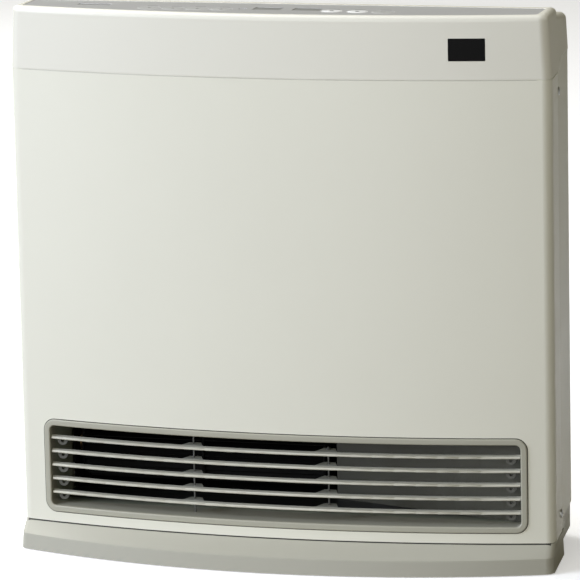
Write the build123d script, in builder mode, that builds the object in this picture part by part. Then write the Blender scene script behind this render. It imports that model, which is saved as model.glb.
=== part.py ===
from build123d import *
import math
import os

# Portable fan gas heater with a bowed front, in millimetres.
# The origin is on the floor under the middle of the overall box, +Z is up, the front faces -Y.
# Depths are measured back from the plane through the two front corners of the body.

# Overall sizes
overall_height = 470.0
body_width = 468.0
body_depth = 156.0
front_bow = 26.7
side_taper = 0.08
front_corner_radius = 9.0
rear_corner_radius = 25.0
sheet = 0.8
fit_gap = 0.05
seam_gap = 0.8
overlap = 1.0

# Base moulding
base_side_flare = 0.75
base_bow = 42.4
base_toe = 10.8
base_top_z = 23.9
base_crease_z = 14.0
base_crease_inset = 1.5
base_floor_gap = 0.8
base_front_depth = 54.0
base_rear_top_z = 33.2
base_rear_floor_z = 12.0
base_rear_inset = 2.0
base_wall = 3.0
base_rib = 4.0
base_rib_x = 72.0
rear_foot_width = 320.0
rear_foot_reach = 33.8
rear_foot_overhang = 14.5
rear_foot_height = 20.0
foot_diameter = 14.0
foot_thickness = 3.0
front_foot_inset = 54.75
rear_foot_inset = 30.0

# Front panel and case
panel_return_depth = 39.0
panel_flange = 8.0
case_start_depth = 22.0
side_step_depth = 55.0

# Top cover
cover_height = 53.0
cover_rear_height = 44.0
cover_draft = 2.6
cover_wall = 2.5
cover_rim = 3.0
cover_skin = 5.0
cover_edge_radius = 5.0
raised_depth = 50.0
rear_top_drop = 5.3
rear_top_slope = 0.129
rear_edge_radius = 6.0
rear_cavity_drop = 19.0

# Control panel, display windows and keys
panel_front_margin = 5.6
panel_side_margin = 12.0
panel_rear_depth = 38.5
panel_corner_radius = 3.0
recess_depth = 2.0
panel_sink = 0.3
window_places = {"display_left": (-8.7, 10.5, 24.0, 15.0), "display_right": (25.4, 10.5, 24.0, 15.0),
                 "signal_lens": (-162.6, 17.4, 29.0, 8.0), "lamp_lens": (-30.0, 8.0, 7.0, 5.0)}
window_radius = 1.0
window_sink = 0.3
key_row_depth = 2.5
key_travel = 0.8
key_gap = 0.25
key_rise = 0.1
key_seat = 0.4
key_edge = 0.4
switch_size = 6.0
white_key_width = 16.0
white_key_length = 10.0
grey_key_width = 18.5
grey_key_length = 11.0
white_key_x = {"power_key": 48.0, "heat_key": 70.0}
grey_key_x = {"timer_less_key": -110.0, "timer_more_key": -89.0,
              "cooler_key": -68.0, "warmer_key": -47.0, "lock_key": 92.0}
stem_diameter = 4.0
stem_length = 3.6
switch_gap = 0.9
board_thickness = 1.6
board_drop = 5.0
board_x = (-126.0, 118.0)
board_depths = (-16.0, 31.0)
board_boss_diameter = 7.0
board_boss_places = ((-119.0, 25.0), (0.0, 25.0), (108.0, 25.0), (-57.0, -12.0), (60.0, -12.0))
sensor_inset = 68.0
sensor_drop = 28.0
sensor_width = 30.3
sensor_height = 18.8
sensor_radius = 0.6
sensor_lip = 2.0

# Warm air outlet: bezel, slats, link and stay
louvre_z = 74.0
louvre_margin = 22.5
louvre_height = 81.0
louvre_radius = 10.0
louvre_gap = 0.6
bezel_face = 5.4
bezel_proud = 1.4
bezel_rear_depth = 8.0
bezel_edge_radius = 1.2
bezel_lip = 4.0
slat_count = 5
slat_pitch = 11.95
slat_thickness = 2.4
slat_chord = 7.0
slat_setback = 1.0
slat_end_gap = 0.8
hinge_inset = 1.952
hinge_pin_diameter = 3.0
hinge_pin_length = 5.0
socket_clearance = 0.5
stay_socket = 2.5
ear_inset = 8.7
ear_radius = 4.5
ear_thickness = 3.0
ear_drop = 2.6
ear_hole_diameter = 3.0
arm_thickness = 1.0
arm_root_width = 22.0
arm_tip_width = 10.0
arm_tip_lever = 2.0
wire_lever = 7.0
wire_diameter = 1.6
wire_clearance = 0.5
stay_x = -77.7
link_x = 40.5
collar_diameter = 4.6
collar_height = 1.0

# Air path behind the louvre
duct_sheet = 1.0
duct_wall_setback = 7.3
duct_reach = 24.0
duct_leg_x = (-150.0, 20.0)
duct_leg_width = 20.0
duct_leg_setback = 15.0
baffle_deep_x = 30.0
fan_wall_gap = 6.65
fan_radius = 31.0
fan_clearance = 5.0
scroll_end_angle = 60.0
casing_gap = 1.0
fan_blade_count = 28
fan_blade_chord = 8.0
fan_blade_thickness = 1.0
fan_blade_angle = 35.0
fan_disc = 1.5
fan_disc_count = 3
fan_end_gap = 9.0
shaft_diameter = 8.0
bearing_diameter = 18.0
bearing_length = 8.0
motor_diameter = 46.0
motor_length = 52.0
motor_edge = 3.0
motor_bore_depth = 30.0
motor_cap = 3.0
motor_cap_diameter = 20.0

# Burner and gas train on the chassis plate
chassis_depth = 25.0
chassis_sheet = 1.2
chassis_top_drop = 13.0
chassis_flange_depth = 52.0
chassis_flange_rise = 11.3
chamber_x = (-150.0, 70.0)
chamber_wall_gap = 23.65
chamber_z = (150.0, 300.0)
burner_z = (152.0, 176.0)
burner_depths = (48.0, 82.0)
burner_slot_count = 16
burner_slot_pitch = 12.5
burner_slot_width = 5.0
burner_slot_length = 20.0
burner_wall = 1.0
burner_tube_diameter = 14.0
burner_tube_length = 14.0
feed_offset = 8.0
electrode_diameter = 6.0
electrode_length = 30.0
electrode_depths = (60.0, 74.0)
electrode_z = 184.0
fitting_inset = 84.0
valve_size = (44.0, 40.0, 46.0)
valve_z = 144.0
coil_diameter = 21.0
coil_spacing = 22.0
coil_height = 24.0
valve_edge_radius = 2.0
feed_diameter = 10.0
feed_engagement = 6.0
pipe_diameter = 9.5
pipe_bend = 18.0
inlet_z = 70.0
inlet_neck_diameter = 12.0
hose_end_diameter = 9.5
hose_end_length = 15.0
hose_bore_diameter = 6.0
inlet_hex_length = 9.65
inlet_nut_length = 5.0
inlet_nut_across_flats = 17.0
supply_inset = 18.0
supply_width = 52.0
supply_z = (250.0, 330.0)
supply_depth = 40.0
supply_edge_radius = 2.0
overheat_place = (65.0, 240.0)
overheat_diameter = 16.0
overheat_height = 8.0

# Rear wall: air intake, filter, grommet and screws
intake_margin = 15.0
grille_width = 310.0
grille_height = 220.0
grille_top_drop = 19.2
grille_depth = 8.0
grille_wall = 2.0
grille_slot_pitch = 9.5
grille_slot_height = 5.0
grille_columns = 3
grille_margin = 12.0
grille_edge_radius = 1.5
filter_bar_thickness = 1.5
filter_bar_setback = 1.0
filter_clearance = 0.3
filter_frame = 8.0
filter_bar = 2.0
filter_tab_width = 60.0
filter_tab_height = 8.0
filter_bars_across = 6
filter_bars_up = 5
grommet_z = 62.0
grommet_diameter = 17.0
grommet_groove_diameter = 14.0
grommet_lip = 2.0
cord_bore_diameter = 7.0
side_screw_head = 7.0
high_side_screw = (45.0, 16.2)
low_side_screw = (34.0, 17.3)
screw_shank = 3.6
screw_head_height = 1.6
screw_length = 8.0
rear_screw_head = 8.0
rear_screw_inset = 49.0
low_rear_screw_rise = 9.0
high_rear_screw_drop = 13.2
rear_tab_width = 16.0
rear_tab_end = 9.0

# Worked out from the sizes above
body_half = body_width / 2
overall_depth = base_toe + base_bow - front_bow + body_depth + rear_foot_overhang
corner_y = base_toe + base_bow - overall_depth / 2
base_width = body_width + 2 * base_side_flare
front_foot_x = base_width / 2 - front_foot_inset
rear_foot_x = rear_foot_width / 2 - rear_foot_inset
rear_foot_y = overall_depth / 2 - rear_foot_reach
cover_seam_z = overall_height - cover_height
cover_rear_seam_z = overall_height - cover_rear_height
rear_top_z = overall_height - rear_top_drop
rear_cavity_top_z = overall_height - rear_cavity_drop
body_radius = (body_half**2 + front_bow**2) / (2 * front_bow)
body_center_y = corner_y - front_bow + body_radius
rear_y = corner_y - front_bow + body_depth
step_y = corner_y + side_step_depth
panel_bottom_z = base_top_z + seam_gap
panel_top_z = cover_seam_z - seam_gap
case_rear_bottom_z = base_rear_top_z + seam_gap
case_rear_top_z = cover_rear_seam_z - seam_gap
case_inset = sheet + fit_gap
wall_y = rear_y - case_inset
wall_inner_y = wall_y - sheet
rear_screw_x = body_half - rear_screw_inset
rear_screw_z = (case_rear_bottom_z + low_rear_screw_rise, case_rear_top_z - high_rear_screw_drop)
side_screw_places = ((high_side_screw[0], panel_top_z - high_side_screw[1]),
                     (low_side_screw[0], panel_bottom_z + low_side_screw[1]))
panel_half_width = body_half - panel_side_margin
sensor_x = body_half - sensor_inset
sensor_z = overall_height - sensor_drop
recess_z = overall_height - recess_depth
overlay_top_z = overall_height - panel_sink
skin_bottom_z = overall_height - cover_skin
stem_bottom_z = recess_z - stem_length
key_bottom_z = recess_z - key_seat
well_bottom_z = key_bottom_z - key_travel - key_gap
board_top_z = skin_bottom_z - board_drop
louvre_width = body_width - 2 * louvre_margin
bezel_inner_width = louvre_width - 2 * bezel_face
bezel_inner_height = louvre_height - 2 * bezel_face
slat_half = bezel_inner_width / 2 - slat_end_gap
ear_x = slat_half - ear_inset
slat_heights = [louvre_z + slat_pitch * (i - (slat_count - 1) / 2) for i in range(slat_count)]
duct_bottom_z = louvre_z - bezel_inner_height / 2
duct_top_z = louvre_z + bezel_inner_height / 2
stay_bottom_z = duct_bottom_z - stay_socket
stay_top_z = duct_top_z + stay_socket
scroll_radius = fan_radius + fan_clearance
fan_y = wall_inner_y - fan_wall_gap - duct_sheet - scroll_radius
fan_z = duct_bottom_z + scroll_radius
duct_rear_y = fan_y - duct_reach
chassis_top_z = cover_seam_z - chassis_top_drop
valve_x = body_half - fitting_inset
grommet_x = -valve_x
supply_x = (supply_inset - body_half, supply_inset + supply_width - body_half)
grille_z = (case_rear_top_z - grille_top_drop - grille_height, case_rear_top_z - grille_top_drop)
grille_rows = int((grille_height - 2 * grille_margin - grille_slot_height) / grille_slot_pitch) + 1
intake_width = grille_width - 2 * intake_margin
intake_z = (grille_z[0] + intake_margin, grille_z[1] - intake_margin)
far = 2 * body_width


def back(depth):
    """Y of a point this far behind the front corners of the body."""
    return corner_y + depth


def front_y(x, inset=0.0):
    """Y of the bowed front at this X, moved in by inset."""
    return body_center_y - math.sqrt((body_radius - inset) ** 2 - x * x)


def plan(half_width, bow_radius, bow_apex_y, end_y, front_round, rear_round):
    """Outline in plan: a bowed front, sides that close in, and a straight rear."""
    center_y = bow_apex_y + bow_radius
    side_y = center_y - math.sqrt(bow_radius**2 - half_width**2)
    end_half = half_width - side_taper * (end_y - side_y)
    with BuildSketch() as outline:
        with BuildLine():
            ThreePointArc((-half_width, side_y), (0, bow_apex_y), (half_width, side_y))
            Polyline((half_width, side_y), (end_half, end_y), (-end_half, end_y), (-half_width, side_y))
        make_face()
        fillet(outline.vertices().sort_by(Axis.Y)[:2], front_round)
        if rear_round:
            fillet(outline.vertices().sort_by(Axis.Y)[-2:], rear_round)
    return outline.sketch


def body_plan(inset=0.0, half_width=body_half):
    """Outline of the body in plan, moved in by inset."""
    apex_y = corner_y - front_bow
    outline = plan(half_width, body_radius, apex_y, rear_y, front_corner_radius, rear_corner_radius)
    if inset:
        outline = offset(outline, amount=-inset, mode=Mode.PRIVATE)
    return outline


def band(outline, first_y, last_y):
    """The part of an outline between two depths."""
    with BuildSketch() as strip:
        add(outline)
        with Locations((0, (first_y + last_y) / 2)):
            Rectangle(2 * far, last_y - first_y, mode=Mode.INTERSECT)
    return strip.sketch


def ring(outer_inset, inner_inset, first_y, last_y):
    """A strip that follows the body's outline between two insets and two depths."""
    with BuildSketch() as strip:
        add(body_plan(outer_inset))
        add(body_plan(inner_inset), mode=Mode.SUBTRACT)
    return band(strip.sketch, first_y, last_y)


def slab(face, low_z, high_z, mode=Mode.ADD):
    """A flat outline raised between two heights."""
    extrude(face.moved(Location((0, 0, low_z))), amount=high_z - low_z, mode=mode)


def block(x, y, z, mode=Mode.ADD):
    """A box between three pairs of limits."""
    with Locations(((x[0] + x[1]) / 2, (y[0] + y[1]) / 2, (z[0] + z[1]) / 2)):
        Box(x[1] - x[0], y[1] - y[0], z[1] - z[0], mode=mode)


def bow_band(outer_inset, inner_inset, last_y):
    """A strip between two arcs that run parallel to the bowed front."""
    with BuildSketch() as strip:
        with Locations((0, body_center_y)):
            Circle(body_radius - outer_inset)
            Circle(body_radius - inner_inset, mode=Mode.SUBTRACT)
    return band(strip.sketch, -far, last_y)


def front_prism(width, height, radius, x, z, last_y):
    """A rounded rectangle seen from the front, run back from ahead of the body."""
    with BuildPart() as prism:
        with BuildSketch(Plane.XZ.offset(overall_depth)):
            with Locations((x, z)):
                RectangleRounded(width, height, radius)
        extrude(amount=-(last_y + overall_depth))
    return prism.part


def bowed_plate(prism, outer_inset, inner_inset):
    """A shape seen from the front, trimmed to a skin that follows the bowed front."""
    with BuildPart() as plate:
        slab(bow_band(outer_inset, inner_inset, back(side_step_depth)), 0, overall_height)
        add(prism, mode=Mode.INTERSECT)
    return plate.part


def oval(x, depth, width, length, gap=0.0):
    """A key's outline: an oval that is wider than it is long."""
    with BuildSketch() as outline:
        with Locations((x, back(depth))):
            Ellipse(width / 2 + gap, length / 2 + gap)
    return outline.sketch


def side_plane(depth, z, side, inset):
    """A plane on the side of the body at this depth and height, facing out."""
    x = side * (body_half - side_taper * depth - inset)
    return Plane(origin=(x, back(depth), z), x_dir=(0, 0, 1), z_dir=(side, side_taper, 0))


def rear_plane(x, z):
    """A plane on the outer face of the case's rear wall, facing out."""
    return Plane(origin=(x, wall_y, z), x_dir=(-1, 0, 0), z_dir=(0, 1, 0))


def pegs(planes, diameter, start, end, mode=Mode.ADD):
    """A round peg on each plane, between two distances along its normal."""
    for plane in planes:
        with BuildSketch(plane.offset(start)) as section:
            Circle(diameter / 2)
        extrude(section.sketch, amount=end - start, mode=mode)


def rod(start, end, diameter, mode=Mode.ADD):
    """A round bar between two points."""
    run = Vector(*end) - Vector(*start)
    with BuildSketch(Plane(origin=start, z_dir=run)) as section:
        Circle(diameter / 2)
    extrude(section.sketch, amount=run.length, mode=mode)


def save(piece, name):
    """Name a piece and write it."""
    piece.label = name
    export_step(piece, "parts/" + name + ".step")


os.makedirs("parts", exist_ok=True)

# Places of the screws, on the side and rear faces
low_screws = [side_plane(*side_screw_places[1], side, 0) for side in (-1, 1)]
high_screws = [side_plane(*side_screw_places[0], side, case_inset) for side in (-1, 1)]
low_rear_screws = [rear_plane(x, rear_screw_z[0]) for x in (-rear_screw_x, rear_screw_x)]
high_rear_screws = [rear_plane(x, rear_screw_z[1]) for x in (-rear_screw_x, rear_screw_x)]
screw_hole = screw_shank + 2 * fit_gap

# Base moulding: the front flares down to a crease and stands on the floor, the rear is raised
base_radius = ((base_width / 2) ** 2 + base_bow**2) / (2 * base_bow)
base_front_y = -overall_depth / 2
front_end_y = back(base_front_depth)
foot_plan = plan(base_width / 2, base_radius, base_front_y, front_end_y, front_corner_radius, 0)
crease_plan = plan(base_width / 2 - base_crease_inset / 2, base_radius, base_front_y + base_crease_inset,
                   front_end_y, front_corner_radius, 0)
deck_plan = plan(body_half, body_radius, corner_y - front_bow, front_end_y, front_corner_radius, 0)
lip_y = base_front_y + base_radius - math.sqrt(base_radius**2 - front_foot_x**2)
rear_pad_y = overall_depth / 2 - base_wall - foot_diameter / 2 - overlap
foot_places = [(-front_foot_x, lip_y + foot_diameter), (front_foot_x, lip_y + foot_diameter),
               (-rear_foot_x, rear_pad_y), (rear_foot_x, rear_pad_y)]

raised_start_y = step_y + seam_gap
rear_plan = band(body_plan(base_rear_inset), front_end_y - base_wall, rear_y)
raised_plan = band(body_plan(base_rear_inset), raised_start_y, rear_y)
rib_places = (-base_rib_x, base_rib_x)
tab_y = (wall_inner_y - fit_gap - base_wall, wall_inner_y - fit_gap)

# Hollow under the front of the base, with ribs and the sockets of the feet left standing
with BuildPart() as base_hollow:
    with BuildSketch():
        offset(crease_plan, amount=-base_wall)
    with BuildSketch(Plane.XY.offset(base_crease_z - base_wall)):
        offset(crease_plan, amount=-base_wall)
    with BuildSketch(Plane.XY.offset(base_top_z - base_wall)):
        offset(deck_plan, amount=-base_wall)
    loft(ruled=True)
    for x in rib_places:
        block((x - base_rib / 2, x + base_rib / 2), (-far, far), (0, base_top_z), mode=Mode.SUBTRACT)
    with Locations([(x, y, 0) for x, y in foot_places]):
        Cylinder(foot_diameter / 2 + base_wall, 2 * base_top_z, mode=Mode.SUBTRACT)

with BuildPart() as base_plinth:
    with BuildSketch(Plane.XY.offset(base_floor_gap)):
        add(foot_plan)
    with BuildSketch(Plane.XY.offset(base_crease_z)):
        add(crease_plan)
    with BuildSketch(Plane.XY.offset(base_top_z)):
        add(deck_plan)
    loft(ruled=True)
    add(base_hollow.part, mode=Mode.SUBTRACT)
    slab(rear_plan, base_rear_floor_z, base_top_z)
    slab(raised_plan, base_rear_floor_z, base_rear_top_z)
    block((-rear_foot_width / 2, rear_foot_width / 2), (rear_foot_y, overall_depth / 2),
          (base_floor_gap, rear_foot_height))
    # Pocket from below under the rear, then the ribs and the sockets of the rear feet
    slab(offset(raised_plan, amount=-base_wall, mode=Mode.PRIVATE), 0, base_rear_top_z - base_wall,
         mode=Mode.SUBTRACT)
    block((base_wall - rear_foot_width / 2, rear_foot_width / 2 - base_wall),
          (rear_foot_y + base_wall, overall_depth / 2 - base_wall),
          (0, rear_foot_height - base_wall), mode=Mode.SUBTRACT)
    for x in rib_places:
        block((x - base_rib / 2, x + base_rib / 2), (raised_start_y, rear_foot_y),
              (base_rear_floor_z, base_rear_top_z))
    for x, y in foot_places[2:]:
        rod((x, y, base_floor_gap), (x, y, rear_foot_height - overlap), foot_diameter + 2 * base_wall)
    # Seats that carry the front panel and the case one seam above the deck
    slab(ring(sheet + fit_gap, panel_flange, -far, step_y - overlap), base_top_z - overlap, panel_bottom_z)
    slab(ring(base_rear_inset + base_wall / 2, panel_flange, raised_start_y + overlap, rear_y),
         base_rear_top_z - overlap, case_rear_bottom_z)
    # Tabs that the rear wall is screwed to
    for x in (-rear_screw_x, rear_screw_x):
        block((x - rear_tab_width / 2, x + rear_tab_width / 2), tab_y,
              (base_rear_top_z - overlap, rear_screw_z[0] + rear_tab_end))
    pegs(low_rear_screws, screw_hole, -screw_length, 0, mode=Mode.SUBTRACT)
    # Recesses for the rubber feet
    for x, y in foot_places:
        rod((x, y, 0), (x, y, foot_thickness), foot_diameter, mode=Mode.SUBTRACT)
save(base_plinth.part, "base_plinth")

# Four rubber feet pressed into the base
with BuildPart() as rubber_feet:
    with BuildSketch():
        with Locations(foot_places):
            Circle(foot_diameter / 2)
    extrude(amount=foot_thickness)
save(rubber_feet.part, "rubber_feet")

# Front panel: one folded sheet with side returns, flanges and the outlet cut-out
with BuildPart() as front_panel:
    slab(ring(0, sheet, -far, back(panel_return_depth)), panel_bottom_z, panel_top_z)
    flange = ring(sheet / 2, panel_flange, -far, back(case_start_depth) - overlap)
    slab(flange, panel_bottom_z, panel_bottom_z + sheet)
    slab(flange, panel_top_z - sheet, panel_top_z)
    add(front_prism(louvre_width + 2 * louvre_gap, louvre_height + 2 * louvre_gap,
                    louvre_radius + louvre_gap, 0, louvre_z, corner_y), mode=Mode.SUBTRACT)
    pegs(low_screws, screw_hole, -screw_length, overlap, mode=Mode.SUBTRACT)
save(front_panel.part, "front_panel")

# Case: a sheet that runs round the sides and the rear, with flanges and the rear openings
inlet_plane = rear_plane(valve_x, inlet_z)
grommet_plane = rear_plane(grommet_x, grommet_z)

with BuildPart() as case_shell:
    front_wall = ring(case_inset, case_inset + sheet, back(case_start_depth), step_y)
    rear_wall = ring(case_inset, case_inset + sheet, step_y, rear_y)
    slab(front_wall, panel_bottom_z, panel_top_z)
    slab(rear_wall, case_rear_bottom_z, case_rear_top_z)
    front_flange = ring(case_inset + sheet / 2, panel_flange, back(case_start_depth), step_y)
    rear_flange = ring(case_inset + sheet / 2, panel_flange, step_y, rear_y - 2 * panel_flange)
    slab(front_flange, panel_bottom_z, panel_bottom_z + sheet)
    slab(front_flange, panel_top_z - sheet, panel_top_z)
    slab(rear_flange, case_rear_bottom_z, case_rear_bottom_z + sheet)
    slab(rear_flange, case_rear_top_z - sheet, case_rear_top_z)
    block((-intake_width / 2, intake_width / 2), (wall_y - 2 * sheet, wall_y + overlap), intake_z,
          mode=Mode.SUBTRACT)
    pegs(low_screws + high_screws, screw_hole, -screw_length, overlap, mode=Mode.SUBTRACT)
    pegs(low_rear_screws + high_rear_screws, screw_hole, -2 * sheet, overlap, mode=Mode.SUBTRACT)
    pegs([inlet_plane], inlet_neck_diameter + 2 * fit_gap, -2 * sheet, overlap, mode=Mode.SUBTRACT)
    pegs([grommet_plane], grommet_groove_diameter, -2 * sheet, overlap, mode=Mode.SUBTRACT)
save(case_shell.part, "case_shell")

# Screws: four in the sides and four in the rear wall
with BuildPart() as side_screws:
    pegs(low_screws + high_screws, screw_shank, -screw_length, 0)
    pegs(low_screws + high_screws, side_screw_head, 0, screw_head_height)
save(side_screws.part, "side_screws")

with BuildPart() as rear_screws:
    pegs(low_rear_screws + high_rear_screws, screw_shank, -screw_length, 0)
    pegs(low_rear_screws + high_rear_screws, rear_screw_head, 0, screw_head_height)
save(rear_screws.part, "rear_screws")

# Hollow of the top cover: low at the rear and high under the control panel
with BuildPart() as cover_cavity:
    with BuildSketch(Plane.XY.offset(cover_seam_z)):
        add(body_plan(cover_wall))
    with BuildSketch(Plane.XY.offset(overall_height)):
        add(body_plan(cover_wall, half_width=body_half - cover_draft))
    loft()
    block((-far, far), (-far, far), (skin_bottom_z, overall_height + overlap),
          mode=Mode.SUBTRACT)
    block((-far, far), (back(raised_depth) - cover_wall, far), (rear_cavity_top_z, overall_height),
          mode=Mode.SUBTRACT)

# Top cover: the raised front half, the rear half, and the seats for the panel, keys and board
keys = {name: (x, white_key_width, white_key_length, overall_height) for name, x in white_key_x.items()}
keys.update({name: (x, grey_key_width, grey_key_length, overlay_top_z + key_rise)
             for name, x in grey_key_x.items()})

with BuildSketch() as panel_outline:
    with Locations((0, body_center_y)):
        Circle(body_radius - panel_front_margin)
    with Locations((0, back(panel_rear_depth) - far / 2)):
        Rectangle(2 * panel_half_width, far, mode=Mode.INTERSECT)
    fillet(panel_outline.vertices(), panel_corner_radius)

with BuildPart() as top_cover:
    with BuildSketch(Plane.XY.offset(cover_seam_z)):
        add(body_plan())
    with BuildSketch(Plane.XY.offset(overall_height)):
        add(body_plan(half_width=body_half - cover_draft))
    loft()
    # Behind the raised part the top drops and slopes to the rear
    with BuildSketch(Plane.YZ.offset(-far)):
        Polygon((back(raised_depth), rear_top_z), (back(raised_depth), far + far), (far, far + far),
                (far, rear_top_z - rear_top_slope * (far - back(raised_depth))), align=None)
    extrude(amount=2 * far, mode=Mode.SUBTRACT)
    slope_edges = top_cover.faces().sort_by(Axis.Z)[-3].edges()
    fillet(slope_edges.sort_by(Axis.Y)[1:], rear_edge_radius)
    fillet(top_cover.faces().sort_by(Axis.Z)[-1].edges(), cover_edge_radius)
    add(cover_cavity.part, mode=Mode.SUBTRACT)
    block((-far, far), (step_y - seam_gap, far), (0, cover_rear_seam_z), mode=Mode.SUBTRACT)
    # A rim inside the wall stands on the flanges of the panel and the case
    slab(ring(case_inset, case_inset + cover_rim, -far, step_y - seam_gap), panel_top_z,
         cover_seam_z + overlap)
    slab(ring(case_inset, case_inset + cover_rim, step_y, rear_y), case_rear_top_z,
         cover_rear_seam_z + overlap)
    # Tabs that the rear wall is screwed to
    for x in (-rear_screw_x, rear_screw_x):
        block((x - rear_tab_width / 2, x + rear_tab_width / 2), tab_y,
              (rear_screw_z[1] - rear_tab_end, cover_rear_seam_z + panel_flange))
    pegs(high_rear_screws, screw_hole, -screw_length, 0, mode=Mode.SUBTRACT)
    # Seat of the control panel, a well and a stem hole for each key
    slab(panel_outline.sketch, recess_z, overall_height + overlap, mode=Mode.SUBTRACT)
    for x, width, length, top_z in keys.values():
        slab(oval(x, key_row_depth, width, length, key_gap), well_bottom_z, overall_height,
             mode=Mode.SUBTRACT)
        with Locations((x, back(key_row_depth), skin_bottom_z)):
            Cylinder(stem_diameter / 2 + key_gap, 2 * cover_skin, mode=Mode.SUBTRACT)
    # Bosses that carry the control board
    with BuildSketch(Plane.XY.offset(board_top_z)):
        with Locations([(x, back(depth)) for x, depth in board_boss_places]):
            Circle(board_boss_diameter / 2)
    extrude(amount=skin_bottom_z - board_top_z)
    add(front_prism(sensor_width + 2 * fit_gap, sensor_height + 2 * fit_gap, sensor_radius + fit_gap,
                    sensor_x, sensor_z, corner_y), mode=Mode.SUBTRACT)
save(top_cover.part, "top_cover")

# Control panel: a flush overlay with openings for the keys and the windows
with BuildPart() as control_panel:
    slab(offset(panel_outline.sketch, amount=-fit_gap, mode=Mode.PRIVATE), recess_z, overlay_top_z)
    for x, width, length, top_z in keys.values():
        slab(oval(x, key_row_depth, width, length, key_gap), recess_z, overlay_top_z, mode=Mode.SUBTRACT)
    for x, depth, width, length in window_places.values():
        with BuildSketch(Plane.XY.offset(recess_z)):
            with Locations((x, back(depth))):
                RectangleRounded(width + 2 * fit_gap, length + 2 * fit_gap, window_radius + fit_gap)
        extrude(amount=recess_depth, mode=Mode.SUBTRACT)
save(control_panel.part, "control_panel")

# Two display windows and two small lenses let into the control panel
for name, (x, depth, width, length) in window_places.items():
    with BuildPart() as window:
        with BuildSketch(Plane.XY.offset(recess_z)):
            with Locations((x, back(depth))):
                RectangleRounded(width, length, window_radius)
        extrude(amount=overlay_top_z - window_sink - recess_z)
    save(window.part, name)

# Keys: an oval cap with a softened edge on a stem that reaches down to its switch
for name, (x, width, length, top_z) in keys.items():
    with BuildPart() as key:
        slab(oval(x, key_row_depth, width, length), key_bottom_z, top_z)
        chamfer(key.faces().sort_by(Axis.Z)[-1].edges(), key_edge)
        with BuildSketch(Plane.XY.offset(stem_bottom_z)):
            with Locations((x, back(key_row_depth))):
                Circle(stem_diameter / 2)
        extrude(amount=key_bottom_z - stem_bottom_z)
    save(key.part, name)

# Control board under the keys, with a switch for each
with BuildPart() as control_board:
    block(board_x, (back(board_depths[0]), back(board_depths[1])),
          (board_top_z - board_thickness, board_top_z))
    with BuildSketch(Plane.XY.offset(board_top_z)):
        with Locations([(x, back(key_row_depth)) for x, width, length, top_z in keys.values()]):
            Rectangle(switch_size, switch_size)
    extrude(amount=stem_bottom_z - switch_gap - board_top_z)
save(control_board.part, "control_board")

# Dark window of the sensor in the band under the top edge
with BuildPart() as sensor_window:
    add(bowed_plate(front_prism(sensor_width, sensor_height, sensor_radius, sensor_x, sensor_z,
                                corner_y), window_sink, cover_wall + 2 * fit_gap))
    add(bowed_plate(front_prism(sensor_width + 2 * sensor_lip, sensor_height + 2 * sensor_lip,
                                sensor_radius + sensor_lip, sensor_x, sensor_z, corner_y),
                    cover_wall + fit_gap, cover_wall + overlap))
save(sensor_window.part, "sensor_window")

# Louvre bezel: a proud bowed rim that runs back as the mouth of the outlet
hinge_y = front_y(slat_half, slat_setback + slat_chord) - hinge_inset
wire_y = hinge_y - wire_lever
bezel_mouth = front_prism(bezel_inner_width, bezel_inner_height, louvre_radius - bezel_face, 0, louvre_z,
                          overall_depth)

with BuildPart() as louvre_bezel:
    slab(bow_band(-bezel_proud, body_radius / 2, back(bezel_rear_depth)), 0, overall_height)
    add(front_prism(louvre_width, louvre_height, louvre_radius, 0, louvre_z, overall_depth),
        mode=Mode.INTERSECT)
    add(bowed_plate(front_prism(louvre_width + 2 * bezel_lip, louvre_height + 2 * bezel_lip,
                                louvre_radius + bezel_lip, 0, louvre_z, overall_depth),
                    sheet + fit_gap, sheet + fit_gap + bezel_lip / 2))
    add(bezel_mouth, mode=Mode.SUBTRACT)
    fillet(louvre_bezel.faces().sort_by(Axis.Y)[0].edges(), bezel_edge_radius)
    # Blind sockets for the slats' pins, and for the ends of the stay
    socket_start = bezel_inner_width / 2 - overlap
    socket_end = slat_half + hinge_pin_length + socket_clearance
    for z in slat_heights:
        rod((-socket_end, hinge_y, z), (-socket_start, hinge_y, z), hinge_pin_diameter + 2 * fit_gap,
            mode=Mode.SUBTRACT)
        rod((socket_start, hinge_y, z), (socket_end, hinge_y, z), hinge_pin_diameter + 2 * fit_gap,
            mode=Mode.SUBTRACT)
    rod((stay_x, wire_y, stay_bottom_z), (stay_x, wire_y, stay_top_z), wire_diameter, mode=Mode.SUBTRACT)
save(louvre_bezel.part, "louvre_bezel")

# A slat at height zero: a bowed blade with two arms, and an end piece with an ear and a hinge pin each side
slat_end_x = ear_x - ear_radius - overlap
with BuildPart() as slat_profile:
    with BuildSketch() as blade:
        add(bow_band(slat_setback, slat_setback + slat_chord, back(side_step_depth)))
        Rectangle(2 * slat_half, 2 * far, mode=Mode.INTERSECT)
    slab(blade.sketch, -slat_thickness / 2, slat_thickness / 2)
    nose_edges = slat_profile.faces().sort_by(Axis.Y)[0].edges().filter_by(GeomType.CIRCLE)
    fillet(nose_edges, slat_thickness / 2 - fit_gap)

with BuildPart() as slat_blade:
    add(slat_profile.part)
    block((fit_gap - slat_end_x, slat_end_x - fit_gap), (-far, far), (-slat_thickness, slat_thickness),
          mode=Mode.INTERSECT)
    for x in (stay_x, link_x):
        root_y = front_y(x, slat_setback + slat_chord) - overlap
        tip_y = hinge_y - arm_tip_lever
        with BuildSketch(Plane.XY.offset(-arm_thickness / 2)):
            Polygon((x - arm_root_width / 2, root_y), (x + arm_root_width / 2, root_y),
                    (x + arm_tip_width / 2, tip_y), (x - arm_tip_width / 2, tip_y), align=None)
        extrude(amount=arm_thickness)
        rod((x, wire_y, -arm_thickness), (x, wire_y, arm_thickness), wire_diameter + 2 * wire_clearance,
            mode=Mode.SUBTRACT)

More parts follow.
